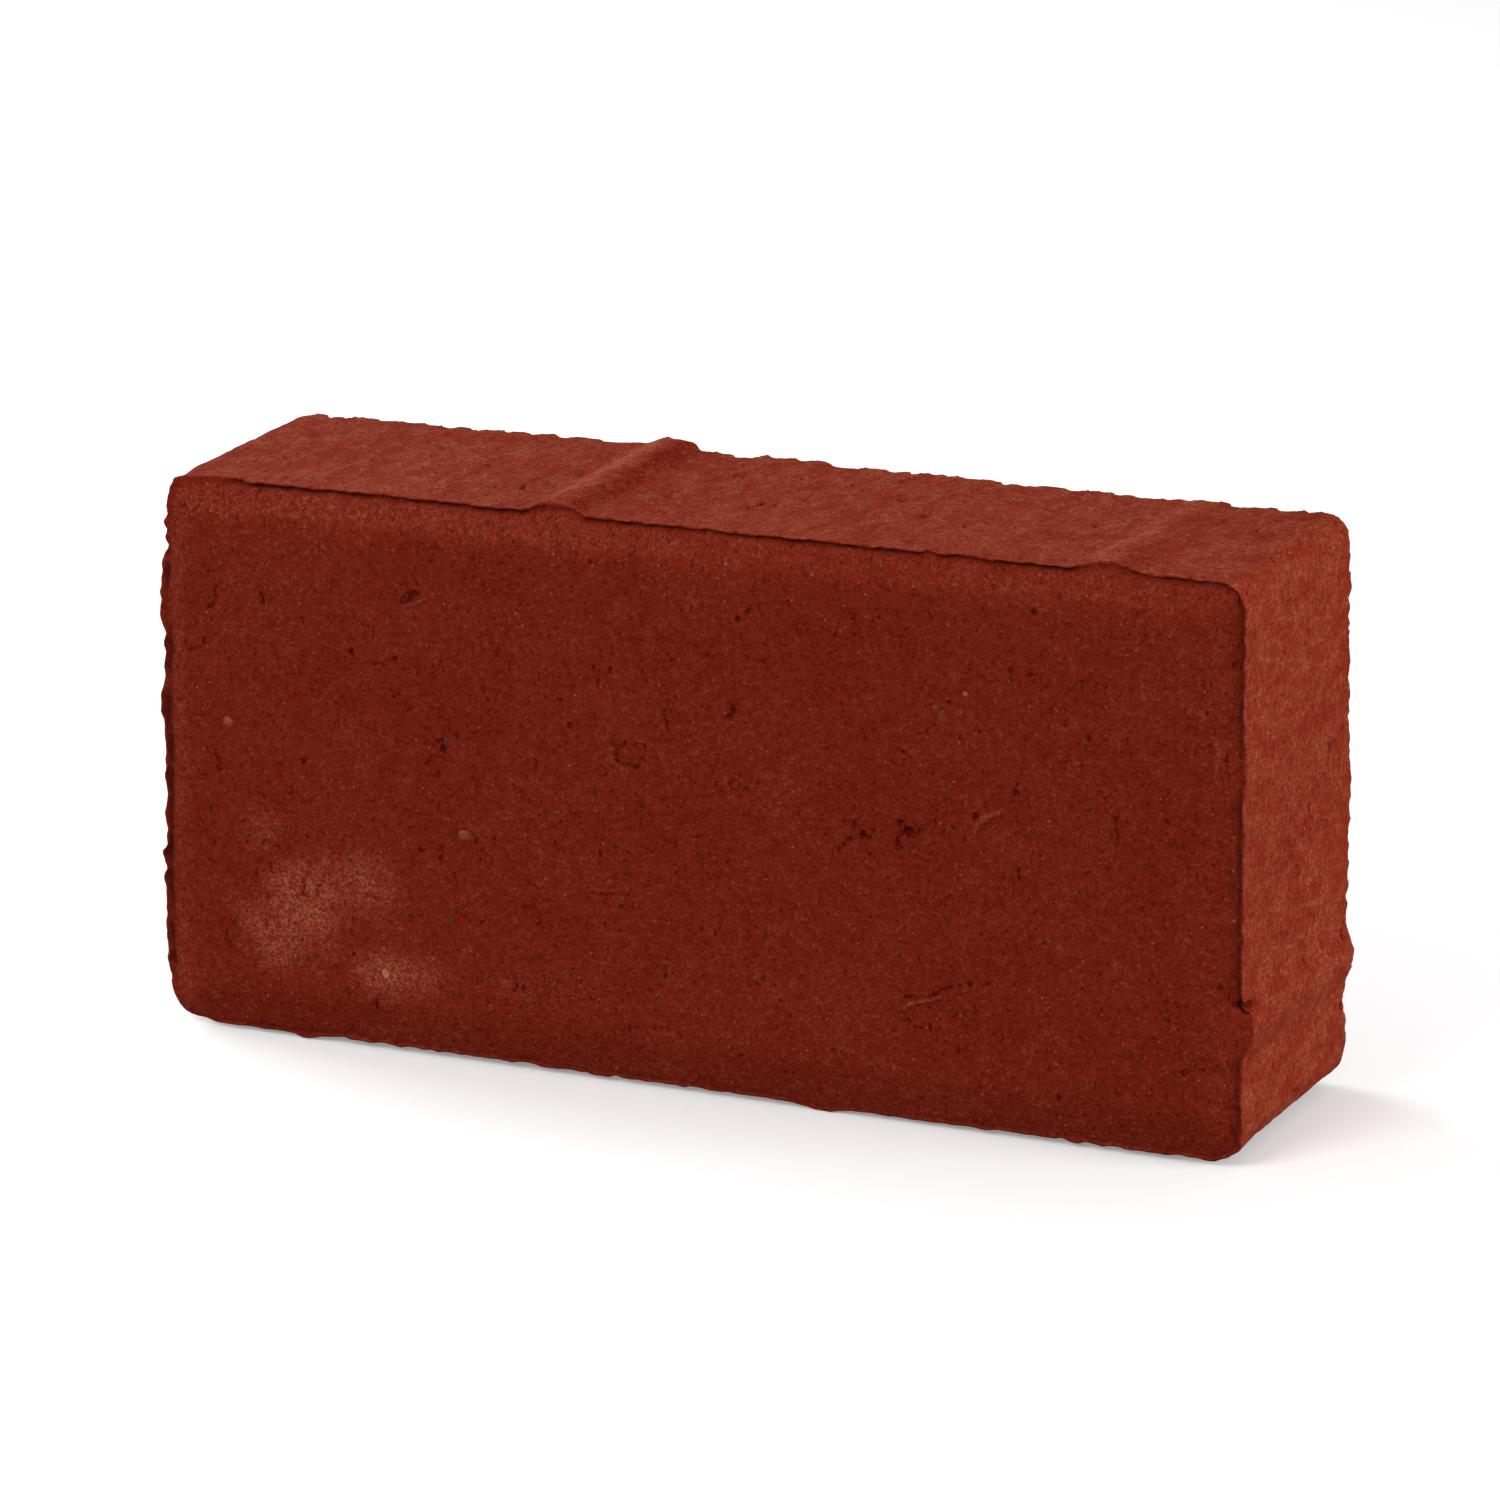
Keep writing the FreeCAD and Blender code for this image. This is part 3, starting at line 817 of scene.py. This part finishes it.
def facing_spots():
    """Where the facing's mesh has to be fine."""
    spots = line_spots(FACE_TEARS, 0.7) + line_spots(FACE_LIPS, 0.8)
    for from_left, below_top, width, height, _, _ in FACE_PITS:
        x, z = on_face(from_left, below_top)
        spots.append((np.array([x, WEARING_Y, z]), 0.5 * max(width, height) + 0.45))
    spots += [(place, radius + 0.3) for place, radius, _ in FACE_VOIDS]
    return spots + socket_spots((WEARING_Y - 1, BOND_Y))


def core_spots():
    """Where the core's mesh has to be fine."""
    spots = [(place, radius) for place, radius, _ in BED_VOIDS if radius < 0.7]
    return spots + socket_spots((BOND_Y, BED_Y + 1))


UV_MARGIN = 1.5


def lay_out(mesh, base, face_y):
    """Flat layout of the mesh for baking: the large face, and the four sides as strips under it."""
    corner_vertex = np.empty(len(mesh.loops), np.int32)
    mesh.loops.foreach_get("vertex_index", corner_vertex)
    totals = np.empty(len(mesh.polygons), np.int32)
    mesh.polygons.foreach_get("loop_total", totals)
    polygon = np.repeat(np.arange(len(totals)), totals)
    at = base[corner_vertex]
    centre = np.stack([np.bincount(polygon, at[:, axis]) / totals for axis in range(3)], -1)[polygon]
    flat = np.abs(centre[:, 1] - face_y) < 0.001
    cap = np.abs(centre[:, 1] - BOND_Y) < 0.001
    depth = np.abs(at[:, 1] - face_y)
    strip = abs(BOND_Y - face_y) + UV_MARGIN

    width, height = 2 * HALF + UV_MARGIN
    uv = np.empty((len(at), 2))
    uv[flat] = (at[:, (0, 2)] - CENTRE + HALF)[flat]
    uv[cap] = ((at[:, (0, 2)] - CENTRE + HALF) * 0.09)[cap] + (0, height + 3 * strip)
    past = np.abs(centre[:, (0, 2)] - CENTRE) - (HALF - CORNER_RADIUS)
    towards = centre[:, (0, 2)] - CENTRE
    sideways = past[:, 0] > past[:, 1]
    places = {"top": (0, 0), "bottom": (0, 1), "right": (0, 2), "left": (1, 2)}
    for side, (column, row) in places.items():
        _, along, outward = SIDE_AXES[side]
        mine = ~flat & ~cap & (sideways == (side in ("left", "right"))) & (towards @ outward > 0)
        offset = (at[:, (0, 2)] - CENTRE)[mine]
        straight = abs(HALF @ along) - CORNER_RADIUS
        over = np.abs(offset @ along) - straight
        out = np.maximum(offset @ outward - abs(HALF @ outward) + CORNER_RADIUS, 0)
        turned = CORNER_RADIUS * np.arctan2(np.maximum(over, 0), np.maximum(out, 1e-9))
        run = np.sign(offset @ along) * (np.minimum(np.abs(offset @ along), straight) + turned)
        half = straight + CORNER_RADIUS * math.pi / 4
        u = run + half + column * (2 * half + UV_MARGIN)
        uv[mine] = np.stack([u, depth[mine] + height + row * strip], -1)
    uv = (uv + UV_MARGIN) / (max(width, height + 3 * strip + 10) + 2 * UV_MARGIN)
    layer = mesh.uv_layers.new(name="OFBake")
    layer.data.foreach_set("uv", uv.astype(np.float32).ravel())
    smooth = np.ones(len(totals), bool)
    smooth[polygon[cap]] = False
    mesh.polygons.foreach_set("use_smooth", smooth)
    ends = np.empty(2 * len(mesh.edges), np.int32)
    mesh.edges.foreach_get("vertices", ends)
    rim = (np.abs(base[ends.reshape(-1, 2), 1] - BOND_Y) < 0.001).all(axis=1)
    set_values(mesh, "sharp_edge", rim, "BOOLEAN", "EDGE")


def make_layer(name, node, material, shell, spots, deform):
    """One concrete layer as a piece that stands for its CAD node; shell is its face, insets and levels."""
    mesh = refined_mesh(name, *plain_shell(*shell), spots)
    base = read_points(mesh)
    lay_out(mesh, base, shell[0])
    moved, looks = deform(base)
    mesh.vertices.foreach_set("co", (moved * MM).astype(np.float32).ravel())
    for label, values in looks.items():
        set_values(mesh, label, values.astype(np.float32))
    add_piece(name, mesh, node, material)


def add_piece(name, mesh, node, material):
    """Object of a mesh, on the block's one body, in place of a CAD node."""
    mesh.materials.append(material)
    mesh.update()
    piece = place_object(name, mesh)
    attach(piece, "root")
    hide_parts(node)


# ---------------- stones


def rounded_hull(corners, crease):
    """Subdivided hull of a stone's corners, scaled back to the box of those corners."""
    work = bmesh.new()
    for corner in corners:
        work.verts.new(corner)
    hull = bmesh.ops.convex_hull(work, input=work.verts)
    inside = {item for item in hull["geom_interior"] if isinstance(item, bmesh.types.BMVert)}
    bmesh.ops.delete(work, geom=list(inside), context="VERTS")
    bmesh.ops.dissolve_limit(work, angle_limit=math.radians(2), verts=work.verts, edges=work.edges)
    bmesh.ops.recalc_face_normals(work, faces=work.faces)
    creases = work.edges.layers.float.new("crease_edge")
    for edge in work.edges:
        edge[creases] = crease
    mesh = bpy.data.meshes.new("hull")
    work.to_mesh(mesh)
    work.free()
    holder = place_object("hull", mesh)
    smoother = holder.modifiers.new("round", "SUBSURF")
    smoother.levels = STONE_SMOOTHING
    evaluated = holder.evaluated_get(bpy.context.evaluated_depsgraph_get())
    finished = bpy.data.meshes.new_from_object(evaluated)
    points = read_points(finished)
    faces = [list(face.vertices) for face in finished.polygons]
    bpy.data.objects.remove(holder)
    bpy.data.meshes.remove(mesh)
    bpy.data.meshes.remove(finished)
    low, high = points.min(axis=0), points.max(axis=0)
    wanted_low, wanted_high = corners.min(axis=0), corners.max(axis=0)
    return wanted_low + (points - low) * (wanted_high - wanted_low) / (high - low), faces


def outward_axis(corners):
    """Axis along which a stone lies nearest to the block's surface."""
    low, high = corners.min(axis=0), corners.max(axis=0)
    side_gap = min(RIGHT_X - high[0], low[0] - LEFT_X)
    face_gap = min(BED_Y - high[1], low[1] - WEARING_Y)
    return int(np.argmin([side_gap, face_gap, TOP_Z - high[2]]))


STONE_SMOOTHING = 3
STONE_UNEVENNESS = 0.06


def make_stones(node, material, crease=0.0):
    """All the stones of a CAD node as one piece, rounded and a little uneven."""
    all_points = []
    all_faces = []
    rims = []
    first = 0
    for i, corners in enumerate(STONES[node]):
        points, faces = rounded_hull(corners, crease)
        size = float(np.min(np.ptp(corners, axis=0)))
        middle = corners.mean(axis=0)
        uneven = noise(points, 0.45 * size, 101 + i) + 0.5 * noise(points, 0.2 * size, 131 + i)
        points = points + (points - middle) * (STONE_UNEVENNESS * uneven)[:, None]
        in_plane = [axis for axis in range(3) if axis != outward_axis(corners)]
        share = 2 * (points - middle) / np.ptp(corners, axis=0)
        rims.append(np.linalg.norm(share[:, in_plane], axis=1))
        all_points.append(points)
        all_faces += [[first + corner for corner in face] for face in faces]
        first += len(points)
    mesh = bpy.data.meshes.new(node + "_stone")
    mesh.from_pydata((np.vstack(all_points) * MM).tolist(), [], all_faces)
    mesh.polygons.foreach_set("use_smooth", np.ones(len(mesh.polygons), bool))
    set_values(mesh, "rim", np.concatenate(rims).astype(np.float32))
    add_piece(node + "_stone", mesh, node, material)


# ---------------- materials


class Graph:
    """Short way to add and join the nodes of a material or of the world."""

    def __init__(self, owner):
        self.owner = owner
        owner.use_nodes = True
        self.tree = owner.node_tree
        self.tree.nodes.clear()

    def add(self, kind, inputs=(), **settings):
        """New node; inputs pairs a socket's name or number with a value or another node's output."""
        node = self.tree.nodes.new("ShaderNode" + kind)
        for name, value in settings.items():
            setattr(node, name, value)
        for socket, value in dict(inputs).items():
            if isinstance(value, bpy.types.NodeSocket):
                self.tree.links.new(value, node.inputs[socket])
            else:
                node.inputs[socket].default_value = value
        return node

    def math(self, operation, first, second=0.0, third=0.0):
        node = self.add("Math", {0: first, 1: second, 2: third}, operation=operation)
        return node.outputs[0]

    def product(self, first, *others):
        for other in others:
            first = self.math("MULTIPLY", first, other)
        return first

    def plus(self, base, value, factor):
        """Base plus a value times a factor."""
        return self.math("MULTIPLY_ADD", value, factor, base)

    def vary(self, base, value, factor):
        """Base plus what a value from 0 to 1 has above its middle, times a factor."""
        return self.plus(base, self.math("SUBTRACT", value, 0.5), factor)

    def step(self, value, start, end, low=0.0, high=1.0):
        """Smooth step of a value from low, at start, to high, at end."""
        sockets = {"Value": value, "From Min": start, "From Max": end, "To Min": low, "To Max": high}
        return self.add("MapRange", sockets, interpolation_type="SMOOTHSTEP").outputs["Result"]

    def mix(self, share, first, second):
        node = self.add("Mix", {0: share, 6: first, 7: second}, data_type="RGBA")
        return node.outputs[2]

    def shade(self, colour, factor):
        """Colour times a number."""
        node = self.add("VectorMath", {0: colour, "Scale": factor}, operation="SCALE")
        return node.outputs["Vector"]

    def place(self, stretch=(1.0, 1.0, 1.0), shift=(0.0, 0.0, 0.0)):
        """Place on the object in millimetres, times stretch, plus shift."""
        source = self.add("TexCoord").outputs["Object"]
        scale = tuple(factor / MM for factor in stretch)
        node = self.add("VectorMath", {0: source, 1: scale, 2: shift}, operation="MULTIPLY_ADD")
        return node.outputs["Vector"]

    def slanted(self, place):
        """Place turned about a slanting axis, so that a noise does not line up with the block's faces."""
        sockets = {"Vector": place, "Axis": (0.5, 0.7, 0.6), "Angle": math.radians(38)}
        return self.add("VectorRotate", sockets, rotation_type="AXIS_ANGLE").outputs["Vector"]

    def noise(self, place, size, detail=3.0, roughness=0.55):
        """Noise from 0 to 1 with lumps about size across."""
        sockets = {"Vector": place, "Scale": 1 / size, "Detail": detail, "Roughness": roughness}
        return self.add("TexNoise", sockets).outputs["Fac"]

    def dots(self, place, spacing, radius, share):
        """Ragged dots, a share of all cells; also a random number for each cell."""
        cells = self.add("TexVoronoi", {"Vector": place, "Scale": 1 / spacing})
        draws = self.add("SeparateXYZ", {0: cells.outputs["Color"]}).outputs
        reach = self.math("MULTIPLY_ADD", draws[1], 0.7 * radius / spacing, 0.3 * radius / spacing)
        inside = self.math("DIVIDE", cells.outputs["Distance"], reach)
        dot = self.step(inside, 1.15, 0.7)
        return self.math("MULTIPLY", dot, self.math("LESS_THAN", draws[0], share)), draws[2]

    def attribute(self, name):
        return self.add("Attribute", attribute_name=name).outputs["Fac"]

    def finish(self, colour, roughness, height, bump_distance, specular):
        """Principled surface from the colour, the roughness and a height map of bump_distance metres."""
        normal = self.add("Bump", {"Height": height, "Distance": bump_distance, "Strength": 1.0})
        sockets = {
            "Base Color": colour,
            "Roughness": roughness,
            "Normal": normal.outputs[0],
            "Specular IOR Level": specular,
        }
        self.add("OutputMaterial", {"Surface": self.add("BsdfPrincipled", sockets).outputs[0]})
        return self.owner


def rgb(red, green, blue):
    """Colour, in linear light."""
    return (red, green, blue, 1.0)


PASTE_DARK = rgb(0.150, 0.0080, 0.0028)
PASTE = rgb(0.230, 0.0198, 0.0079)
PASTE_LIGHT = rgb(0.310, 0.0500, 0.0250)
PASTE_DUSTY = rgb(0.420, 0.1000, 0.0580)
# colour of the painted shade in pits, voids and sockets
PIT_SHADE = rgb(0.060, 0.0034, 0.0019)
PORE_SHADE = rgb(0.090, 0.0045, 0.0020)
# colour of the painted shade in the groove at the fin's foot
GROOVE_SHADE = rgb(0.055, 0.0065, 0.0045)
LIME = rgb(0.930, 0.2750, 0.1600)
SIDE_FILM = rgb(0.560, 0.3300, 0.1400)
SAND_PALE = rgb(0.560, 0.2200, 0.1500)
SAND_DARK = rgb(0.100, 0.0100, 0.0060)

# Height of the finest relief, in metres
CONCRETE_BUMP = 0.00038
STONE_BUMP = 0.00010

# Patches of lime bloom on the wearing face: from the left end, below the top side, half width, half
# height, strength
LIME_BLOOM = [
    (27.2, 73.5, 7.5, 10.0, 1.0),
    (37.7, 68.7, 6.5, 6.0, 0.7),
    (20.0, 80.3, 6.5, 5.5, 0.75),
    (43.1, 84.1, 9.0, 4.5, 0.85),
    (19.2, 61.1, 5.0, 4.0, 0.35),
    (75.0, 82.7, 9.0, 4.0, 0.15),
]


def concrete(name, coarseness):
    """Red pigmented concrete; coarseness is 0 for the facing and 1 for the core."""
    graph = Graph(bpy.data.materials.new(name))
    place = graph.place()
    drawn = graph.slanted(graph.place(stretch=(1.0, 0.5, 1.0)))  # tool marks run through the thickness
    labels = ("hollow", "groove_shade", "worn", "side", "dusty", "flank_shading_and_dust")
    hollow, groove_shade, worn, side, dusty, flank_shading_and_dust = [graph.attribute(label) for label in labels]

    broad = graph.noise(drawn, 24.0, 3.0, 0.5)
    medium = graph.noise(drawn, 3.4, 3.0, 0.6)
    grain = graph.noise(graph.slanted(place), 1.05 + 0.3 * coarseness, 2.0, 0.6)
    grit = graph.noise(graph.slanted(graph.place(shift=(6.2, 3.9, 4.1))), 0.45, 0.5, 0.5)
    streak = graph.noise(graph.place(stretch=(1.0, 0.33, 1.0), shift=(2.7, 0.0, 7.3)), 0.60, 2.0, 0.6)

    patchy = graph.product(side, graph.step(medium, 0.38, 0.62, 0.2, 1.0))
    streaks = graph.product(graph.math("SUBTRACT", streak, 0.5), patchy)
    strokes = graph.product(graph.step(streak, 0.56, 0.70), patchy)
    tone = graph.vary(0.5, broad, 0.35)
    tone = graph.vary(tone, medium, 0.52)
    tone = graph.plus(tone, streaks, 0.7)
    # painted light on the top nibs' left flanks and painted shade on their right flanks
    tone = graph.plus(tone, flank_shading_and_dust, 0.26)
    tone = graph.vary(tone, grain, 1.05)
    tone = graph.vary(tone, grit, 0.75)
    colour = graph.mix(graph.step(tone, 0.05, 0.5), PASTE_DARK, PASTE)
    colour = graph.mix(graph.step(tone, 0.5, 1.0), colour, PASTE_LIGHT)

    # sand: pale grains and darker grains
    pale, pale_draw = graph.dots(graph.place(shift=(3.1, 7.7, 1.9)), 1.2, 0.30, 0.15)
    dark, _ = graph.dots(graph.place(shift=(9.4, 2.2, 5.3)), 1.1, 0.36, 0.22)
    glint = graph.step(graph.noise(graph.place(shift=(1.1, 5.7, 9.9)), 0.45, 1.0), 0.66, 0.76)
    colour = graph.mix(graph.product(pale, graph.plus(0.08, pale_draw, 0.42)), colour, SAND_PALE)
    colour = graph.mix(graph.product(glint, 0.24), colour, SAND_PALE)
    colour = graph.mix(graph.product(dark, 0.35), colour, SAND_DARK)

    # pores: short upright tears in the skin, denser in clumps, drawn with painted shade
    tear = graph.slanted(graph.place(stretch=(1.3, 1.0, 0.75), shift=(1.7, 4.9, 8.8)))
    tear = graph.noise(tear, 1.10, 2.0, 0.5)
    clump = graph.step(graph.noise(place, 6.0, 2.0), 0.38, 0.66, 0.310, 0.370)
    deep = graph.math("SUBTRACT", tear, clump)
    pore = graph.step(deep, 0.030, -0.070)

    # lime bloom low on the left of the wearing face
    split = graph.add("SeparateXYZ", {0: place}).outputs
    wander = graph.math("SUBTRACT", graph.noise(place, 7.0, 4.0, 0.6), 0.5)
    bloom = 0.0
    for from_left, below_top, half_width, half_height, strength in LIME_BLOOM:
        x, z = on_face(from_left, below_top).tolist()
        across = graph.plus(-x / half_width, split[0], 1 / half_width)
        upward = graph.plus(-z / half_height, split[2], 1 / half_height)
        away = graph.plus(graph.product(across, across), upward, upward)
        away = graph.plus(graph.math("SQRT", away), wander, 2.0)
        bloom = graph.math("MAXIMUM", bloom, graph.step(away, 1.5, 0.1, 0.0, strength))
    bloom = graph.product(bloom, graph.step(split[1], WEARING_Y + 3, WEARING_Y + 1))
    crumbs = graph.plus(graph.product(grain, 0.4), grit, 0.6)
    far = graph.step(split[0], LEFT_X + 60, LEFT_X + 120, 1.0, 0.45)  # the dust thins out to the right
    speckle = graph.step(crumbs, 0.38, 0.66, 0.4, 2.2)
    film = graph.plus(graph.product(dusty, far, 0.040), bloom, 0.150)
    colour = graph.mix(graph.product(film, speckle), colour, LIME)
    crumb, crumb_draw = graph.dots(graph.place(shift=(5.3, 0.4, 2.2)), 0.85, 0.26, 0.30)
    colour = graph.mix(graph.product(crumb, crumb_draw, film, 4.5), colour, LIME)
    film = graph.plus(graph.product(patchy, 0.045), strokes, 0.050)
    # the side film is heavier on the top nibs' left flanks and thinner on their right flanks: dust, and
    # painted light and shade
    film = graph.product(film, graph.plus(1.0, flank_shading_and_dust, 0.50), speckle)
    colour = graph.mix(film, colour, SIDE_FILM)
    chalky = graph.product(worn, graph.step(crumbs, 0.35, 0.65, 0.08, 0.45))
    colour = graph.mix(chalky, colour, PASTE_DUSTY)

    # hollows hold shade and dirt
    # painted shade in the pores
    colour = graph.mix(graph.product(pore, 0.52), colour, PORE_SHADE)
    # painted shade in the groove at the fin's foot
    colour = graph.mix(graph.product(groove_shade, 0.5), colour, GROOVE_SHADE)
    # painted shade in the pits, voids and sockets, broken up by noise
    shade = graph.vary(graph.vary(hollow, tear, 2.6), grit, 2.6)
    shade = graph.product(graph.step(shade, 0.30, 0.90, 0.0, 0.80), graph.step(hollow, 0.03, 0.25))
    colour = graph.mix(shade, colour, PIT_SHADE)

    height = graph.product(grain, 0.8 + 0.5 * coarseness)
    for layer, factor in ((grit, 0.20), (medium, 0.7), (streaks, 0.5), (pore, -0.3), (pale, 0.15)):
        height = graph.plus(height, layer, factor)
    roughness = graph.step(grain, 0.3, 0.7, 0.85, 0.97)
    return graph.finish(colour, roughness, height, CONCRETE_BUMP, 0.03)


def stone(name, base, vein, veil, grain_size):
    """Natural stone, clouded with a second colour and partly veiled by the red paste."""
    graph = Graph(bpy.data.materials.new(name))
    place = graph.place()
    clouds = graph.noise(place, 1.6, 4.0, 0.6)
    grain = graph.noise(graph.place(shift=(4.4, 1.2, 7.1)), grain_size, 3.0, 0.6)
    colour = graph.mix(graph.step(clouds, 0.35, 0.65), base, vein)
    colour = graph.shade(colour, graph.step(grain, 0.2, 0.8, 0.75, 1.2))
    film = graph.noise(graph.place(shift=(8.3, 3.3, 2.6)), 1.1, 4.0, 0.65)
    rim = graph.vary(graph.attribute("rim"), film, 1.2)
    cover = graph.step(film, 0.62 - 0.35 * veil, 0.75 - 0.2 * veil, 0.25 * veil, 0.85)
    cover = graph.math("MAXIMUM", cover, graph.step(rim, 0.45 - 0.5 * veil, 1.0 - 0.4 * veil, 0.0, 0.95))
    colour = graph.mix(cover, colour, PASTE)
    height = graph.plus(grain, film, 0.6)
    roughness = graph.step(grain, 0.2, 0.8, 0.5, 0.8)
    return graph.finish(colour, roughness, height, STONE_BUMP, 0.12)


# ---------------- the block

make_layer(
    "wearing_facing", "facing_layer", concrete("facing_concrete", 0.0),
    (WEARING_Y, FACE_INSETS, FACING_LEVELS), facing_spots(), deformed_facing,
)
make_layer(
    "backing_core", "core_layer", concrete("core_concrete", 1.0),
    (BED_Y, BED_INSETS, CORE_LEVELS), core_spots(), deformed_core,
)

# Kinds of stone: main colour, second colour, share of paste over it, size of its grain
STONE_KINDS = {
    "pink_quartz": (rgb(0.330, 0.0600, 0.0370), rgb(0.420, 0.1000, 0.0640), 0.3, 0.5),
    "beige_quartz": (rgb(0.240, 0.0620, 0.0370), rgb(0.370, 0.1150, 0.0760), 0.2, 0.5),
    "cream_quartz": (rgb(0.760, 0.3200, 0.2000), rgb(0.480, 0.1500, 0.0850), 0.05, 0.5),
    "white_quartz": (rgb(0.480, 0.1350, 0.0950), rgb(0.340, 0.0720, 0.0480), 0.1, 0.5),
    "grey_flint": (rgb(0.150, 0.0450, 0.0290), rgb(0.180, 0.0380, 0.0210), 0.65, 0.5),
    "blue_basalt": (rgb(0.055, 0.0300, 0.0260), rgb(0.085, 0.0330, 0.0260), 0.1, 0.5),
    "green_basalt": (rgb(0.085, 0.0300, 0.0150), rgb(0.120, 0.0280, 0.0140), 0.2, 0.5),
    "gravel": (rgb(0.230, 0.0800, 0.0450), rgb(0.140, 0.0500, 0.0320), 0.8, 0.8),
}

# Stones by CAD node: slot, kind, how sharp the edges stay
STONE_PIECES = {
    "light_pebble_left": ("light_stone", "pink_quartz", 0.0),
    "light_pebble_middle": ("light_stone", "beige_quartz", 0.0),
    "cream_grain": ("light_stone", "cream_quartz", 0.0),
    "quartz_grain": ("light_stone", "white_quartz", 0.0),
    "grey_pebble": ("grey_stone", "grey_flint", 0.0),
    "blue_grey_chip": ("dark_stone", "blue_basalt", 0.6),
    "green_grey_chip": ("dark_stone", "green_basalt", 0.5),
    "core_gravel": ("gravel", "gravel", 0.0),
}
for stone_node, (stone_slot, kind, crease) in STONE_PIECES.items():
    make_stones(stone_node, stone(kind, *STONE_KINDS[kind]), crease)

# ---------------- floor, light and camera


FLOOR_HALF = 1.3  # metres


def make_floor():
    """Plain pale floor that the block stands on."""
    corners = [(FLOOR_HALF * x, FLOOR_HALF * y, 0) for x, y in ((-1, -1), (1, -1), (1, 1), (-1, 1))]
    mesh = bpy.data.meshes.new("floor")
    mesh.from_pydata(corners, [], [(0, 1, 2, 3)])
    graph = Graph(bpy.data.materials.new("floor_paint"))
    paint = graph.add("BsdfDiffuse", {"Color": rgb(0.92, 0.92, 0.92)})
    lift = graph.add("Emission", {"Color": rgb(1, 1, 1), "Strength": 0.26})
    both = graph.add("AddShader", {0: paint.outputs[0], 1: lift.outputs[0]})
    graph.add("OutputMaterial", {"Surface": both.outputs[0]})
    mesh.materials.append(graph.owner)
    floor = place_object("floor", mesh)
    floor.visible_diffuse = False  # the light that comes up from below is the dome's lower half


def make_dome(upper, lower):
    """Even light from above, weaker light from below, and white where the camera sees past the floor."""
    world = bpy.data.worlds.new("studio")
    bpy.context.scene.world = world
    graph = Graph(world)
    height = graph.add("SeparateXYZ", {0: graph.add("TexCoord").outputs["Generated"]}).outputs[2]
    sockets = {"Value": height, "From Min": -0.05, "From Max": 0.05, "To Min": lower, "To Max": upper}
    glow = graph.add("MapRange", sockets).outputs["Result"]
    lit = graph.add("Background", {"Color": rgb(1, 1, 1), "Strength": glow})
    seen = graph.add("Background", {"Color": rgb(1, 1, 1), "Strength": 1.0})
    share = graph.add("LightPath").outputs["Is Camera Ray"]
    both = graph.add("MixShader", {0: share, 1: lit.outputs[0], 2: seen.outputs[0]})
    graph.add("OutputWorld", {"Surface": both.outputs[0]})


def make_light(name, place, size, power):
    """Square soft light that faces the block."""
    light = bpy.data.lights.new(name, "AREA")
    light.shape = "SQUARE"
    light.size = size
    light.energy = power
    lamp = place_object(name, light)
    lamp.location = place
    towards = Vector((0, 0, 0.05)) - Vector(place)
    lamp.rotation_euler = towards.to_track_quat("-Z", "Y").to_euler()


def make_camera():
    """Camera at the height, turn and distance of a short telephoto view."""
    data = bpy.data.cameras.new("camera")
    data.lens = 161.7
    data.sensor_width = 36.0
    data.clip_end = 50.0
    camera = place_object("camera", data)
    place = Vector((0.4594, -0.9923, 0.3642))
    aim = Vector((0.0006, 0.0, 0.0540))
    roll = math.radians(-0.47)
    turn = (aim - place).to_track_quat("-Z", "Y").to_matrix() @ Matrix.Rotation(roll, 3, "Z")
    camera.matrix_world = Matrix.Translation(place) @ turn.to_4x4()
    bpy.context.scene.camera = camera


make_floor()
make_dome(0.42, 0.10)
make_light("front_softbox", (-0.35, -1.15, 0.90), 0.7, 10.2)
make_light("right_softbox", (1.35, 0.12, 0.32), 0.6, 14.3)
make_light("left_softbox", (-1.15, 0.45, 0.40), 0.7, 15.0)
make_camera()
bpy.context.scene.view_settings.view_transform = "Standard"
